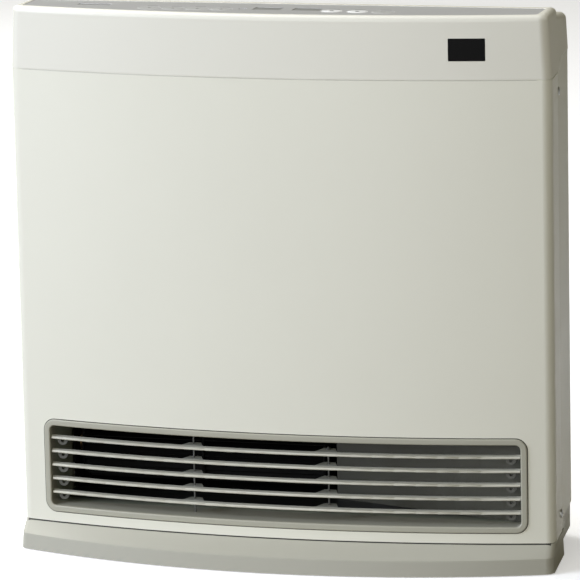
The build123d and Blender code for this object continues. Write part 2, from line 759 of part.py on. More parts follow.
with BuildPart() as slat_ends:
    add(slat_profile.part)
    block((-slat_end_x, slat_end_x), (-far, far), (-slat_thickness, slat_thickness), mode=Mode.SUBTRACT)
    with BuildSketch(Plane.XZ.offset(-(hinge_y + ear_thickness / 2))):
        for x in (-ear_x, ear_x):
            with Locations((x, -ear_drop)):
                Circle(ear_radius)
            with Locations((x, -ear_drop / 2)):
                Rectangle(2 * ear_radius, ear_drop)
            with Locations((x, far / 2)):
                Rectangle(far, far, mode=Mode.SUBTRACT)
            with Locations((x, -ear_drop - ear_hole_diameter / 4)):
                Circle(ear_hole_diameter / 2, mode=Mode.SUBTRACT)
    extrude(amount=ear_thickness)
    for side in (-1, 1):
        rod((side * (ear_x + ear_radius), hinge_y, 0), (side * (slat_half + hinge_pin_length), hinge_y, 0),
            hinge_pin_diameter)

slat = Compound([*slat_blade.solids(), *slat_ends.solids()])
for number, z in enumerate(reversed(slat_heights), start=1):
    save(slat.moved(Location((0, 0, z))), f"louvre_slat_{number}")

# Fixed stay that steadies the slats, and the link wire that moves them together
with BuildPart() as louvre_stay:
    rod((stay_x, wire_y, stay_bottom_z), (stay_x, wire_y, stay_top_z), wire_diameter)
save(louvre_stay.part, "louvre_stay")

low_collar_z = slat_heights[0] - arm_thickness / 2 - wire_clearance - collar_height
high_collar_z = slat_heights[-1] + arm_thickness / 2 + wire_clearance
with BuildPart() as louvre_link:
    rod((link_x, wire_y, low_collar_z - collar_height), (link_x, wire_y, high_collar_z + 2 * collar_height),
        wire_diameter)
    for z in (low_collar_z, high_collar_z):
        rod((link_x, wire_y, z), (link_x, wire_y, z + collar_height), collar_diameter)
save(louvre_link.part, "louvre_link")

# Outlet duct: floor, roof and left wall, standing on the base with two legs
duct_half = bezel_inner_width / 2
duct_front_y = back(bezel_rear_depth) + fit_gap
duct_plan = [(-duct_half - duct_sheet, duct_front_y), (duct_half, duct_front_y),
             (baffle_deep_x, duct_rear_y), (-duct_half - duct_sheet, duct_rear_y)]

leg_y = duct_rear_y - duct_leg_setback
with BuildPart() as outlet_duct:
    for z in (duct_bottom_z - duct_sheet, duct_top_z):
        with BuildSketch(Plane.XY.offset(z)):
            Polygon(*duct_plan, align=None)
        extrude(amount=duct_sheet)
    block((-duct_half - duct_sheet, -duct_half), (duct_front_y, duct_rear_y - duct_wall_setback),
          (duct_bottom_z, duct_top_z))
    for x in duct_leg_x:
        block((x, x + duct_leg_width), (leg_y, leg_y + duct_sheet), (base_top_z, duct_bottom_z))
save(outlet_duct.part, "outlet_duct")

# Slanted baffle that closes the right end of the outlet
slant = Vector(baffle_deep_x - duct_half, duct_rear_y - duct_front_y, 0)
across = Vector(slant.Y, -slant.X, 0).normalized() * duct_sheet
with BuildPart() as duct_baffle:
    with BuildSketch(Plane.XY.offset(duct_bottom_z - duct_sheet)):
        Polygon(duct_plan[1], duct_plan[2],
                (duct_plan[2][0] + across.X, duct_plan[2][1] + across.Y),
                (duct_plan[1][0] + across.X, duct_plan[1][1] + across.Y), align=None)
    extrude(amount=duct_top_z - duct_bottom_z + 2 * duct_sheet)
save(duct_baffle.part, "duct_baffle")

# Fan casing: a scroll that wraps round the rotor from below, on two end plates that stand on the base
fan_left_x = -duct_half - duct_sheet
fan_right_x = baffle_deep_x + duct_sheet
casing_front_y = duct_rear_y + casing_gap
scroll_end = Vector(math.cos(math.radians(scroll_end_angle)), math.sin(math.radians(scroll_end_angle)))
with BuildPart() as fan_casing:
    with BuildSketch(Plane.YZ.offset(fan_left_x)):
        with Locations((fan_y, fan_z)):
            Circle(scroll_radius + duct_sheet)
            Circle(scroll_radius, mode=Mode.SUBTRACT)
        Polygon((fan_y, fan_z), (fan_y + far * scroll_end.X, fan_z + far * scroll_end.Y), (fan_y - far, far),
                (fan_y - far, -far), (fan_y, -far), align=None, mode=Mode.SUBTRACT)
        with Locations(((fan_y + casing_front_y) / 2, duct_bottom_z - duct_sheet / 2)):
            Rectangle(fan_y - casing_front_y, duct_sheet)
    extrude(amount=fan_right_x - fan_left_x)
    for x in (fan_left_x, fan_right_x - duct_sheet):
        block((x, x + duct_sheet), (casing_front_y, fan_y + scroll_radius), (base_rear_top_z, duct_top_z))
    rod((fan_left_x, fan_y, fan_z), (fan_left_x + duct_sheet, fan_y, fan_z), bearing_diameter,
        mode=Mode.SUBTRACT)
    rod((fan_right_x - duct_sheet, fan_y, fan_z), (fan_right_x, fan_y, fan_z), 2 * shaft_diameter,
        mode=Mode.SUBTRACT)
save(fan_casing.part, "fan_casing")

# Cross-flow fan rotor: a cage of blades between discs on a shaft
rotor_x = (fan_left_x + duct_sheet + fan_end_gap, fan_right_x - duct_sheet - fan_end_gap)
bearing_x = fan_left_x + duct_sheet / 2 - bearing_length / 2
shaft_x = (bearing_x - fit_gap, fan_right_x + motor_bore_depth - overlap)
with BuildPart() as fan_rotor:
    with BuildSketch(Plane.YZ.offset(rotor_x[0])):
        with Locations((fan_y, fan_z)):
            with PolarLocations(fan_radius - fan_blade_chord / 2, fan_blade_count):
                Rectangle(fan_blade_chord, fan_blade_thickness, rotation=fan_blade_angle)
    extrude(amount=rotor_x[1] - rotor_x[0])
    for i in range(fan_disc_count):
        x = rotor_x[0] + i * (rotor_x[1] - rotor_x[0] - fan_disc) / (fan_disc_count - 1)
        rod((x, fan_y, fan_z), (x + fan_disc, fan_y, fan_z), 2 * fan_radius)
    rod((shaft_x[0], fan_y, fan_z), (shaft_x[1], fan_y, fan_z), shaft_diameter)
save(fan_rotor.part, "fan_rotor")

# Bearing in the left end plate
with BuildPart() as fan_bearing:
    rod((bearing_x, fan_y, fan_z), (bearing_x + bearing_length, fan_y, fan_z), bearing_diameter)
    rod((bearing_x, fan_y, fan_z), (bearing_x + bearing_length, fan_y, fan_z), shaft_diameter + 2 * fit_gap,
        mode=Mode.SUBTRACT)
save(fan_bearing.part, "fan_bearing")

# Fan motor on the right end plate
motor_end_x = fan_right_x + motor_length
with BuildPart() as fan_motor:
    rod((fan_right_x, fan_y, fan_z), (motor_end_x, fan_y, fan_z), motor_diameter)
    chamfer(fan_motor.edges().filter_by(GeomType.CIRCLE), motor_edge)
    rod((motor_end_x, fan_y, fan_z), (motor_end_x + motor_cap, fan_y, fan_z), motor_cap_diameter)
    rod((fan_right_x, fan_y, fan_z), (fan_right_x + motor_bore_depth, fan_y, fan_z),
        shaft_diameter + 2 * fit_gap, mode=Mode.SUBTRACT)
save(fan_motor.part, "fan_motor")

# Chassis plate across the body, with side flanges that the side screws bite into
chassis_y = back(chassis_depth)
mount_y = chassis_y + chassis_sheet
flange_inset = case_inset + sheet + fit_gap
chassis_bottom_z = duct_top_z + duct_sheet
with BuildPart() as chassis_plate:
    slab(band(body_plan(flange_inset), chassis_y, mount_y), chassis_bottom_z, chassis_top_z)
    slab(ring(flange_inset, flange_inset + chassis_sheet, chassis_y, back(chassis_flange_depth)),
         panel_bottom_z + chassis_flange_rise, chassis_top_z)
    pegs(low_screws + high_screws, screw_hole, -screw_length, overlap, mode=Mode.SUBTRACT)
save(chassis_plate.part, "chassis_plate")

# Combustion chamber: a sheet box on the chassis, open above and below
chamber_y = (mount_y, wall_inner_y - chamber_wall_gap)
burner_y = back(burner_depths[0] + feed_offset)
burner_mid_z = (burner_z[0] + burner_z[1]) / 2
electrode_places = [(back(depth), electrode_z) for depth in electrode_depths]
inner_x = (chamber_x[0] + chassis_sheet, chamber_x[1] - chassis_sheet)
with BuildPart() as combustion_chamber:
    block(chamber_x, chamber_y, chamber_z)
    block(inner_x, (chamber_y[0] + chassis_sheet, chamber_y[1] - chassis_sheet), chamber_z,
          mode=Mode.SUBTRACT)
    rod((inner_x[1], burner_y, burner_mid_z), (chamber_x[1], burner_y, burner_mid_z),
        burner_tube_diameter + 2 * fit_gap, mode=Mode.SUBTRACT)
    for y, z in electrode_places:
        rod((inner_x[1], y, z), (chamber_x[1], y, z), electrode_diameter, mode=Mode.SUBTRACT)
save(combustion_chamber.part, "combustion_chamber")

# Burner: a hollow bar between the chamber's end walls, slotted on top, with its inlet tube
burner_end_x = chamber_x[1] + burner_tube_length
with BuildPart() as burner:
    block(inner_x, (back(burner_depths[0]), back(burner_depths[1])), burner_z)
    rod((inner_x[1], burner_y, burner_mid_z), (burner_end_x, burner_y, burner_mid_z), burner_tube_diameter)
    block((inner_x[0] + burner_wall, inner_x[1] - burner_wall),
          (back(burner_depths[0]) + burner_wall, back(burner_depths[1]) - burner_wall),
          (burner_z[0] + burner_wall, burner_z[1] - burner_wall), mode=Mode.SUBTRACT)
    rod((inner_x[1] - burner_wall, burner_y, burner_mid_z), (burner_end_x, burner_y, burner_mid_z),
        feed_diameter, mode=Mode.SUBTRACT)
    with Locations((0, back(sum(burner_depths) / 2), burner_z[1])):
        with Locations(Location(((inner_x[0] + inner_x[1]) / 2, 0, 0))):
            with GridLocations(burner_slot_pitch, 1, burner_slot_count, 1):
                Box(burner_slot_width, burner_slot_length, 3 * burner_wall, mode=Mode.SUBTRACT)
save(burner.part, "burner")

# Igniter and flame sensor: ceramic rods through the chamber's wall, with a wire tip over the burner
for name, (y, z) in zip(("igniter", "flame_sensor"), electrode_places):
    with BuildPart() as electrode:
        rod((chamber_x[1] - electrode_length / 2, y, z), (chamber_x[1] + electrode_length / 2, y, z),
            electrode_diameter)
        rod((chamber_x[1] - electrode_length, y, z), (chamber_x[1], y, z), wire_diameter)
    save(electrode.part, name)

# Gas valve block with two coils, the feed to the burner and the pipe from the inlet
valve_y = (mount_y, mount_y + valve_size[1])
valve_mid_y = sum(valve_y) / 2
valve_side_x = valve_x - valve_size[0] / 2
valve_top_z = valve_z + valve_size[2]
with BuildPart() as gas_valve:
    block((valve_side_x, valve_x + valve_size[0] / 2), valve_y, (valve_z, valve_top_z))
    fillet(gas_valve.edges().filter_by(Axis.Z), valve_edge_radius)
    for x in (valve_x - coil_spacing / 2, valve_x + coil_spacing / 2):
        rod((x, valve_mid_y, valve_top_z), (x, valve_mid_y, valve_top_z + coil_height), coil_diameter)
save(gas_valve.part, "gas_valve")

with BuildPart() as gas_feed:
    rod((burner_end_x - feed_engagement, burner_y, burner_mid_z), (valve_side_x, burner_y, burner_mid_z),
        feed_diameter)
save(gas_feed.part, "gas_feed")

inlet_inner_y = wall_inner_y - inlet_hex_length
with BuildPart() as gas_pipe:
    with BuildLine() as pipe_path:
        FilletPolyline((valve_x, inlet_inner_y, inlet_z), (valve_x, valve_mid_y, inlet_z),
                       (valve_x, valve_mid_y, valve_z), radius=pipe_bend)
    with BuildSketch(Plane(origin=pipe_path.line @ 0, z_dir=pipe_path.line % 0)):
        Circle(pipe_diameter / 2)
    sweep()
save(gas_pipe.part, "gas_pipe")

# Gas inlet: a hexagon inside the rear wall, a neck through it, a locknut and the plain hose end
with BuildPart() as gas_inlet:
    for y, length in ((inlet_inner_y, inlet_hex_length), (wall_y, inlet_nut_length)):
        with BuildSketch(Plane(origin=(valve_x, y, inlet_z), x_dir=(1, 0, 0), z_dir=(0, 1, 0))):
            RegularPolygon(inlet_nut_across_flats / 2, 6, major_radius=False)
        extrude(amount=length)
    rod((valve_x, inlet_inner_y, inlet_z), (valve_x, wall_y + overlap, inlet_z), inlet_neck_diameter)
    rod((valve_x, wall_y, inlet_z), (valve_x, wall_y + hose_end_length, inlet_z), hose_end_diameter)
    rod((valve_x, wall_y, inlet_z), (valve_x, wall_y + hose_end_length, inlet_z), hose_bore_diameter,
        mode=Mode.SUBTRACT)
save(gas_inlet.part, "gas_inlet")

# Power supply block and the overheat switch
with BuildPart() as power_supply:
    block(supply_x, (mount_y, mount_y + supply_depth), supply_z)
    fillet(power_supply.faces().sort_by(Axis.Y)[-1].edges(), supply_edge_radius)
save(power_supply.part, "power_supply")

switch_y = back(overheat_place[0])
with BuildPart() as overheat_switch:
    rod((chamber_x[0] - overheat_height, switch_y, overheat_place[1]),
        (chamber_x[0], switch_y, overheat_place[1]), overheat_diameter)
save(overheat_switch.part, "overheat_switch")

# Rear grille: a shallow box on the rear wall, slotted, open above for the filter
grille_y = (wall_y, wall_y + grille_depth)
column_width = (grille_width - (grille_columns + 1) * grille_margin) / grille_columns
with BuildPart() as rear_grille:
    block((-grille_width / 2, grille_width / 2), grille_y, grille_z)
    fillet(rear_grille.faces().sort_by(Axis.Y)[-1].edges(), grille_edge_radius)
    block((grille_wall - grille_width / 2, grille_width / 2 - grille_wall),
          (wall_y, grille_y[1] - grille_wall),
          (grille_z[0] + grille_wall, grille_z[1]), mode=Mode.SUBTRACT)
    with BuildSketch(Plane.XZ.offset(-grille_y[1])) as slots:
        with Locations((0, (grille_z[0] + grille_z[1]) / 2)):
            with GridLocations(column_width + grille_margin, grille_slot_pitch, grille_columns, grille_rows):
                Rectangle(column_width, grille_slot_height)
    extrude(amount=2 * grille_wall, both=True, mode=Mode.SUBTRACT)
save(rear_grille.part, "rear_grille")

# Air filter: a barred frame with a pull tab, lifted out between the grille and the wall
filter_half = grille_width / 2 - grille_wall - filter_clearance
filter_y = (rear_y + filter_clearance, grille_y[1] - grille_wall - filter_clearance)
filter_z = (grille_z[0] + grille_wall + filter_clearance, grille_z[1] - overlap)
bar_y = (filter_y[0] + filter_bar_setback, filter_y[0] + filter_bar_setback + filter_bar_thickness)
with BuildPart() as air_filter:
    block((-filter_half, filter_half), filter_y, filter_z)
    block((filter_frame - filter_half, filter_half - filter_frame), filter_y,
          (filter_z[0] + filter_frame, filter_z[1] - filter_frame), mode=Mode.SUBTRACT)
    for i in range(1, filter_bars_across):
        x = -filter_half + i * 2 * filter_half / filter_bars_across
        block((x - filter_bar / 2, x + filter_bar / 2), bar_y, filter_z)
    for i in range(1, filter_bars_up):
        z = filter_z[0] + i * (filter_z[1] - filter_z[0]) / filter_bars_up
        block((-filter_half, filter_half), bar_y, (z - filter_bar / 2, z + filter_bar / 2))
    block((-filter_tab_width / 2, filter_tab_width / 2), filter_y,
          (filter_z[1] - overlap, filter_z[1] + filter_tab_height))
save(air_filter.part, "air_filter")

# Rubber grommet where the supply cord leaves
with BuildPart() as cable_grommet:
    pegs([grommet_plane], grommet_diameter, -sheet - grommet_lip, -sheet)
    pegs([grommet_plane], grommet_groove_diameter, -sheet - overlap, overlap)
    pegs([grommet_plane], grommet_diameter, 0, grommet_lip)
    pegs([grommet_plane], cord_bore_diameter, -far, far, mode=Mode.SUBTRACT)
save(cable_grommet.part, "cable_grommet")
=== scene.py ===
"""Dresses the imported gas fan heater: finishes, fine pieces, key marks and a plain studio."""

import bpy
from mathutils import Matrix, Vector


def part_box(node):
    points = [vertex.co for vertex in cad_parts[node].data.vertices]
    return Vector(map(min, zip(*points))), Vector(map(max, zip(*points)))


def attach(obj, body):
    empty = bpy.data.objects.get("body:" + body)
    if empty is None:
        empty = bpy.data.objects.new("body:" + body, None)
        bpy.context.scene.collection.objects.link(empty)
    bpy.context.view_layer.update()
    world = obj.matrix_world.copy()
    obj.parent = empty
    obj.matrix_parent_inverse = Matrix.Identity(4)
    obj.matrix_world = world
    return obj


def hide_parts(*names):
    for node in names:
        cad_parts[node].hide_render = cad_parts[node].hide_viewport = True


bl_info = {
    "name": "Gas fan heater",
    "version": (1, 0, 0),
    "blender": (4, 5, 0),
    "location": "View3D > Sidebar > Heater",
    "description": "Finishes, screws, filter net, key marks and studio of a gas fan heater",
    "category": "Object",
}

import math

import bpy
from mathutils import Matrix, Vector

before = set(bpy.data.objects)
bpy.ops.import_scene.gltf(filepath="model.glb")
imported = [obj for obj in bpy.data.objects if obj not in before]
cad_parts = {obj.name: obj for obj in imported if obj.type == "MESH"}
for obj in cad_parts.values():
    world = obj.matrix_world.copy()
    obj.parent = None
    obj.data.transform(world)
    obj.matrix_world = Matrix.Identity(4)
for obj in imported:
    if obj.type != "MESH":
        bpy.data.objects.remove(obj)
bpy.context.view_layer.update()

BODY = "heater_body"
MM = 0.001
MICRON = 0.000001
WHITE = (1.0, 1.0, 1.0)

# The front is bowed in plan: where its corners stand, and the circle that it follows
BODY_HALF = 234.0 * MM
CORNER_Y = -45.3 * MM
FRONT_BOW = 26.7 * MM
BOW_RADIUS = (BODY_HALF**2 + FRONT_BOW**2) / (2 * FRONT_BOW)
BOW_CENTRE_Y = CORNER_Y - FRONT_BOW + BOW_RADIUS
BLADE_REAR_RADIUS = BOW_RADIUS - 8.0 * MM

# Behind the front, painted shade darkens the walls of a seam between these two depths
SEAM_NEAR = 0.25 * MM
SEAM_FAR = 12.0 * MM

SCREW_HEAD_HEIGHT = 1.6 * MM
SCREW_HEADS = {"side_screws": 7.0 * MM, "rear_screws": 8.0 * MM}

WHITE_KEYS = ("power_key", "heat_key")
GREY_KEYS = ("timer_less_key", "timer_more_key", "cooler_key", "warmer_key", "lock_key")
WHITE_RING = {"outer_radius": 7.4 * MM, "inner_radius": 5.35 * MM,
              "outer_reach": 1.6 * MM, "inner_reach": 3.0 * MM}
PALE_RING = {"outer_radius": 9.0 * MM, "inner_radius": 8.4 * MM,
             "outer_reach": 0.9 * MM, "inner_reach": 0.9 * MM}


def low(node):
    """Lowest corner of a node's box."""
    return Vector(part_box(node)[0])


def high(node):
    """Highest corner of a node's box."""
    return Vector(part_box(node)[1])


def middle(node):
    """Middle of a node's box."""
    return (low(node) + high(node)) / 2


def slat_names():
    """Names of the louvre's slats."""
    return [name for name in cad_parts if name.startswith("louvre_slat")]


def blade_height(slat):
    """Height of the middle of a slat's blade."""
    half_thickness = 1.2 * MM
    return high(slat).z - half_thickness


# Sizes and colours that a user would change


def colour_property(name, description, default):
    """A colour setting, in linear light."""
    return bpy.props.FloatVectorProperty(name=name, description=description, default=default,
                                         subtype="COLOR", size=3, min=0.0, max=1.0)


def length_property(name, description, millimetres):
    """A length setting, given in millimetres and kept in metres."""
    return bpy.props.FloatProperty(name=name, description=description, min=0.0,
                                   default=millimetres * MM, unit="LENGTH",
                                   subtype="DISTANCE", precision=5)


def power_property(name, description, watts):
    """The power of a light."""
    return bpy.props.FloatProperty(name=name, description=description, default=watts,
                                   min=0.0, unit="POWER")


def strength_property(name, description, default):
    """A strength without a unit."""
    return bpy.props.FloatProperty(name=name, description=description, default=default, min=0.0)


class HeaterFinishes(bpy.types.PropertyGroup):
    """Colours of the heater's finishes."""

    enamel: colour_property("Enamel", "Front panel", (0.790, 0.778, 0.665))
    # The case is a darker copy of the panel's enamel: partly a two-tone finish, partly painted
    # shade for the side faces.
    case: colour_property("Case", "Case shell behind the front panel", (0.660, 0.645, 0.500))
    moulding: colour_property("Moulding", "Top cover", (0.785, 0.768, 0.672))
    base: colour_property("Base", "Base moulding", (0.490, 0.480, 0.400))
    trim: colour_property("Trim", "Louvre bezel", (0.415, 0.405, 0.325))
    slat: colour_property("Slats", "Louvre slats", (0.630, 0.618, 0.520))
    slat_arm: colour_property("Slat arms", "Arms behind the slats' blades", (0.40, 0.40, 0.35))
    slat_ear: colour_property("Slat ears", "Ears at the slats' ends", (0.075, 0.075, 0.062))
    film: colour_property("Film", "Control panel", (0.540, 0.540, 0.530))
    window: colour_property("Windows", "Display windows", (0.270, 0.270, 0.255))
    white_key: colour_property("White keys", "Power and heat keys", (0.860, 0.860, 0.830))
    grey_key: colour_property("Grey keys", "Timer, warmth and lock keys", (0.480, 0.480, 0.455))
    mark: colour_property("Marks", "Printed marks", (0.150, 0.150, 0.140))
    ring: colour_property("Rings", "Rings printed round the grey keys", (0.660, 0.660, 0.640))


class HeaterDetails(bpy.types.PropertyGroup):
    """Sizes of the fine pieces."""

    recess_length: length_property("Recess length", "Length of a screw's cross recess", 4.2)
    recess_width: length_property("Recess width", "Width of a screw's cross recess", 0.9)
    recess_depth: length_property("Recess depth", "Depth of a screw's cross recess", 1.0)
    mesh_pitch: length_property("Net pitch", "Spacing of the filter's threads", 3.0)
    mesh_thread: length_property("Net thread", "Thickness of the filter's threads", 0.5)
    mark_height: length_property("Mark height", "How far a printed mark stands up", 0.03)


class HeaterStudio(bpy.types.PropertyGroup):
    """Lights and floor of the studio."""

    key_power: power_property("Key power", "Large soft light from the left", 108.0)
    front_power: power_property("Front power", "Soft light from the front", 52.0)
    top_power: power_property("Top power", "Soft light from above", 38.0)
    rear_power: power_property("Rear power", "Soft light from behind", 45.0)
    side_power: power_property("Side power", "Small light beside the top of the right side", 0.30)
    key_colour: colour_property("Key colour", "Light from the left", (0.78, 0.84, 1.0))
    fill: strength_property("Fill", "Strength of the light from all round", 0.095)
    fill_colour: colour_property("Fill colour", "Light from all round", (1.0, 0.89, 0.50))
    backdrop: colour_property("Backdrop", "What the camera sees past the floor",
                              (0.72, 0.72, 0.71))
    floor: colour_property("Floor", "Colour of the floor", (0.93, 0.93, 0.93))
    floor_glow: strength_property("Floor glow", "How far the floor is lifted to white", 0.42)


# Shader groups that several finishes share


class Wiring:
    """Adds and links nodes of one node tree."""

    def __init__(self, tree):
        self.tree = tree

    def add(self, kind, values=(), **settings):
        """A node with its settings, and values or links for its inputs by name or place."""
        node = self.tree.nodes.new(kind)
        for name, value in settings.items():
            setattr(node, name, value)
        for name, value in dict(values).items():
            if isinstance(value, bpy.types.NodeSocket):
                self.tree.links.new(value, node.inputs[name])
            else:
                node.inputs[name].default_value = value
        return node

    def link(self, inputs, sources):
        """Links sources to the inputs that they are named for."""
        for name, source in sources.items():
            self.tree.links.new(source, inputs[name])

    def maths(self, operation, *values):
        """The result of a sum on numbers."""
        return self.add("ShaderNodeMath", enumerate(values), operation=operation).outputs[0]

    def vectors(self, operation, *values):
        """The vector that a sum on vectors gives."""
        return self.add("ShaderNodeVectorMath", enumerate(values), operation=operation).outputs[0]

    def scaled(self, colour, factor):
        """A colour made lighter or darker by a factor."""
        return self.add("ShaderNodeVectorMath", {0: colour, "Scale": factor},
                        operation="SCALE").outputs[0]

    def ramp(self, value, start, end, first, last):
        """A number that runs from first to last while a value runs from start to end."""
        return self.add("ShaderNodeMapRange",
                        {0: value, 1: start, 2: end, 3: first, 4: last}).outputs[0]

    def noise(self, place, scale, detail):
        """Soft noise over a place."""
        return self.add("ShaderNodeTexNoise",
                        {"Vector": place, "Scale": scale, "Detail": detail}).outputs["Fac"]

    def place(self):
        """The place on a piece, in the heater's frame."""
        return self.add("ShaderNodeTexCoord").outputs["Object"]

    def axes(self):
        """The place on a piece, as its three numbers."""
        return self.add("ShaderNodeSeparateXYZ", {0: self.place()}).outputs

    def from_bow_centre(self):
        """How far a place is, in plan, from the centre of the front's bow."""
        flat = self.vectors("MULTIPLY", self.place(), (1.0, 1.0, 0.0))
        return self.add("ShaderNodeVectorMath", {0: flat, 1: (0.0, BOW_CENTRE_Y, 0.0)},
                        operation="DISTANCE").outputs["Value"]


def group_tree(name, kind, inputs, outputs):
    """An empty node group with named sockets: its wiring, what it is given and its results."""
    tree = bpy.data.node_groups.new(name, kind)
    for label, socket, default in inputs:
        item = tree.interface.new_socket(label, in_out="INPUT", socket_type=socket)
        if default is not None:
            item.default_value = default
    for label, socket in outputs:
        tree.interface.new_socket(label, in_out="OUTPUT", socket_type=socket)
    wiring = Wiring(tree)
    return wiring, wiring.add("NodeGroupInput").outputs, wiring.add("NodeGroupOutput").inputs


def surface_group():
    """Fine grain, and a slow drift in tone and gloss, as on painted sheet and moulded resin."""
    wiring, given, result = group_tree(
        "moulded surface", "ShaderNodeTree",
        [("Colour", "NodeSocketColor", (1, 1, 1, 1)), ("Tone Drift", "NodeSocketFloat", 0.03),
         ("Roughness", "NodeSocketFloat", 0.4), ("Gloss Drift", "NodeSocketFloat", 0.05),
         ("Grain Scale", "NodeSocketFloat", 900.0)],
        [("Colour", "NodeSocketColor"), ("Roughness", "NodeSocketFloat"),
         ("Height", "NodeSocketFloat")])
    drift_scale = 9.0
    place = wiring.place()
    grain = wiring.noise(place, given["Grain Scale"], 3.0)
    drift = wiring.maths("SUBTRACT", wiring.noise(place, drift_scale, 2.0), 0.5)
    tone = wiring.maths("MULTIPLY_ADD", drift, given["Tone Drift"], 1.0)
    gloss = wiring.maths("MULTIPLY_ADD", drift, given["Gloss Drift"], given["Roughness"])
    wiring.link(result, {"Colour": wiring.scaled(given["Colour"], tone), "Roughness": gloss,
                         "Height": grain})


def brushed_group():
    """Fine lines drawn out along one axis, as on rolled sheet and turned metal."""
    wiring, given, result = group_tree(
        "drawn lines", "ShaderNodeTree",
        [("Colour", "NodeSocketColor", (1, 1, 1, 1)), ("Roughness", "NodeSocketFloat", 0.35),
         ("Stretch", "NodeSocketVector", (20.0, 900.0, 900.0)),
         ("Contrast", "NodeSocketFloat", 0.12)],
        [("Colour", "NodeSocketColor"), ("Roughness", "NodeSocketFloat"),
         ("Height", "NodeSocketFloat")])
    drawn = wiring.vectors("MULTIPLY", wiring.place(), given["Stretch"])
    lines = wiring.noise(drawn, 1.0, 4.0)
    spread = wiring.maths("SUBTRACT", lines, 0.5)
    tone = wiring.maths("MULTIPLY_ADD", spread, given["Contrast"], 1.0)
    rough = wiring.maths("MULTIPLY_ADD", spread, given["Contrast"], given["Roughness"])
    wiring.link(result, {"Colour": wiring.scaled(given["Colour"], tone), "Roughness": rough,
                         "Height": lines})


def painted_seam_shade_group():
    """Paints shade on what lies behind the bowed front between two depths, where a narrow seam is
    in shadow.
    """
    wiring, given, result = group_tree(
        "seam shade", "ShaderNodeTree",
        [("Colour", "NodeSocketColor", (1, 1, 1, 1)),
         ("Near Depth", "NodeSocketFloat", SEAM_NEAR), ("Far Depth", "NodeSocketFloat", SEAM_FAR),
         ("Half Width", "NodeSocketFloat", 222.0 * MM), ("Top", "NodeSocketFloat", 1.0),
         ("Shade", "NodeSocketFloat", 0.1)],
        [("Colour", "NodeSocketColor")])
    axes = wiring.axes()
    depth = wiring.maths("SUBTRACT", BOW_RADIUS, wiring.from_bow_centre())
    across = wiring.maths("ABSOLUTE", axes["X"])
    mask = 1.0
    for more, less in ((depth, given["Near Depth"]), (given["Far Depth"], depth),
                       (given["Half Width"], across), (given["Top"], axes["Z"])):
        mask = wiring.maths("MULTIPLY", mask, wiring.maths("GREATER_THAN", more, less))
    lost = wiring.maths("MULTIPLY", mask, wiring.maths("SUBTRACT", 1.0, given["Shade"]))
    kept = wiring.maths("SUBTRACT", 1.0, lost)
    wiring.link(result, {"Colour": wiring.scaled(given["Colour"], kept)})


# Finishes


def finish(name, colour, group, values, bump, metallic=0.0, coat=0.0):
    """A material: one shared group feeds the shader's colour, roughness and bump."""
    material = bpy.data.materials.new(name)
    material.use_nodes = True
    wiring = Wiring(material.node_tree)
    surface = wiring.add("ShaderNodeGroup", {"Colour": (*colour, 1.0), **values},
                         node_tree=bpy.data.node_groups[group])
    bumped = wiring.add("ShaderNodeBump", {"Height": surface.outputs["Height"],
                                           "Distance": bump * MICRON, "Strength": 1.0})
    shader = material.node_tree.nodes["Principled BSDF"]
    wiring.link(shader.inputs, {"Base Color": surface.outputs["Colour"],
                                "Roughness": surface.outputs["Roughness"],
                                "Normal": bumped.outputs["Normal"]})
    shader.inputs["Metallic"].default_value = metallic
    shader.inputs["Coat Weight"].default_value = coat
    shader.inputs["Coat Roughness"].default_value = 0.1
    return material


def resin(name, colour, roughness=0.42, grain=900.0, bump=10.0, tone=0.03, coat=0.0):
    """Moulded resin, rubber or enamel: grain over one colour, its bump in micrometres."""
    return finish(name, colour, "moulded surface",
                  {"Roughness": roughness, "Grain Scale": grain, "Tone Drift": tone},
                  bump, coat=coat)


def metal(name, colour, roughness=0.35, stretch=(20.0, 900.0, 900.0), bump=4.0):
    """Bare or plated metal with its lines drawn along one axis, its bump in micrometres."""
    return finish(name, colour, "drawn lines", {"Roughness": roughness, "Stretch": stretch},
                  bump, metallic=1.0)


def matt(material):
    """Takes nearly all gloss off a finish, for dark inner surfaces and the sensor's window."""
    shader = material.node_tree.nodes["Principled BSDF"]
    shader.inputs["Specular IOR Level"].default_value = 0.06
    return material


def through(material, inlet, outlet):
    """Leads a material's colour through a node, on its way to the shader."""
    shader_colour = material.node_tree.nodes["Principled BSDF"].inputs["Base Color"]
    links = material.node_tree.links
    links.new(shader_colour.links[0].from_socket, inlet)
    links.new(outlet, shader_colour)
    return material


def add_painted_seam_shade(material, **limits):
    """Adds the painted seam shade to a material, with its depths and limits."""
    values = {label.replace("_", " ").title(): value for label, value in limits.items()}
    shade = Wiring(material.node_tree).add("ShaderNodeGroup", values,
                                           node_tree=bpy.data.node_groups["seam shade"])
    return through(material, shade.inputs["Colour"], shade.outputs["Colour"])


def tinted(material, mask, colour):
    """Mixes a second colour into a material where a mask is one."""
    first_colour, second_colour, result = 6, 7, 2
    mix = Wiring(material.node_tree).add("ShaderNodeMix",
                                         {"Factor": mask, second_colour: (*colour, 1.0)},
                                         data_type="RGBA")
    return through(material, mix.inputs[first_colour], mix.outputs[result])


def wear(material, *nodes):
    """Gives CAD nodes one finish."""
    for name in nodes:
        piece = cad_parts[name]
        if not piece.material_slots:
            piece.data.materials.append(material)
        for slot in piece.material_slots:
            slot.material = material


def paint_shade_below(material, height, soft_edge, colour):
    """Painted shade below a height, where a moulding turns under towards the floor."""
    wiring = Wiring(material.node_tree)
    below = wiring.ramp(wiring.axes()["Z"], height - soft_edge, height, 1.0, 0.0)
    tinted(material, below, colour)


def dim_behind_blade(material, colour):
    """A darker tone on what lies behind a slat's bowed blade: its arms."""
    soft_edge = 0.6 * MM
    wiring = Wiring(material.node_tree)
    behind = wiring.ramp(wiring.from_bow_centre(), BLADE_REAR_RADIUS - soft_edge,
                         BLADE_REAR_RADIUS, 1.0, 0.0)
    tinted(material, behind, colour)


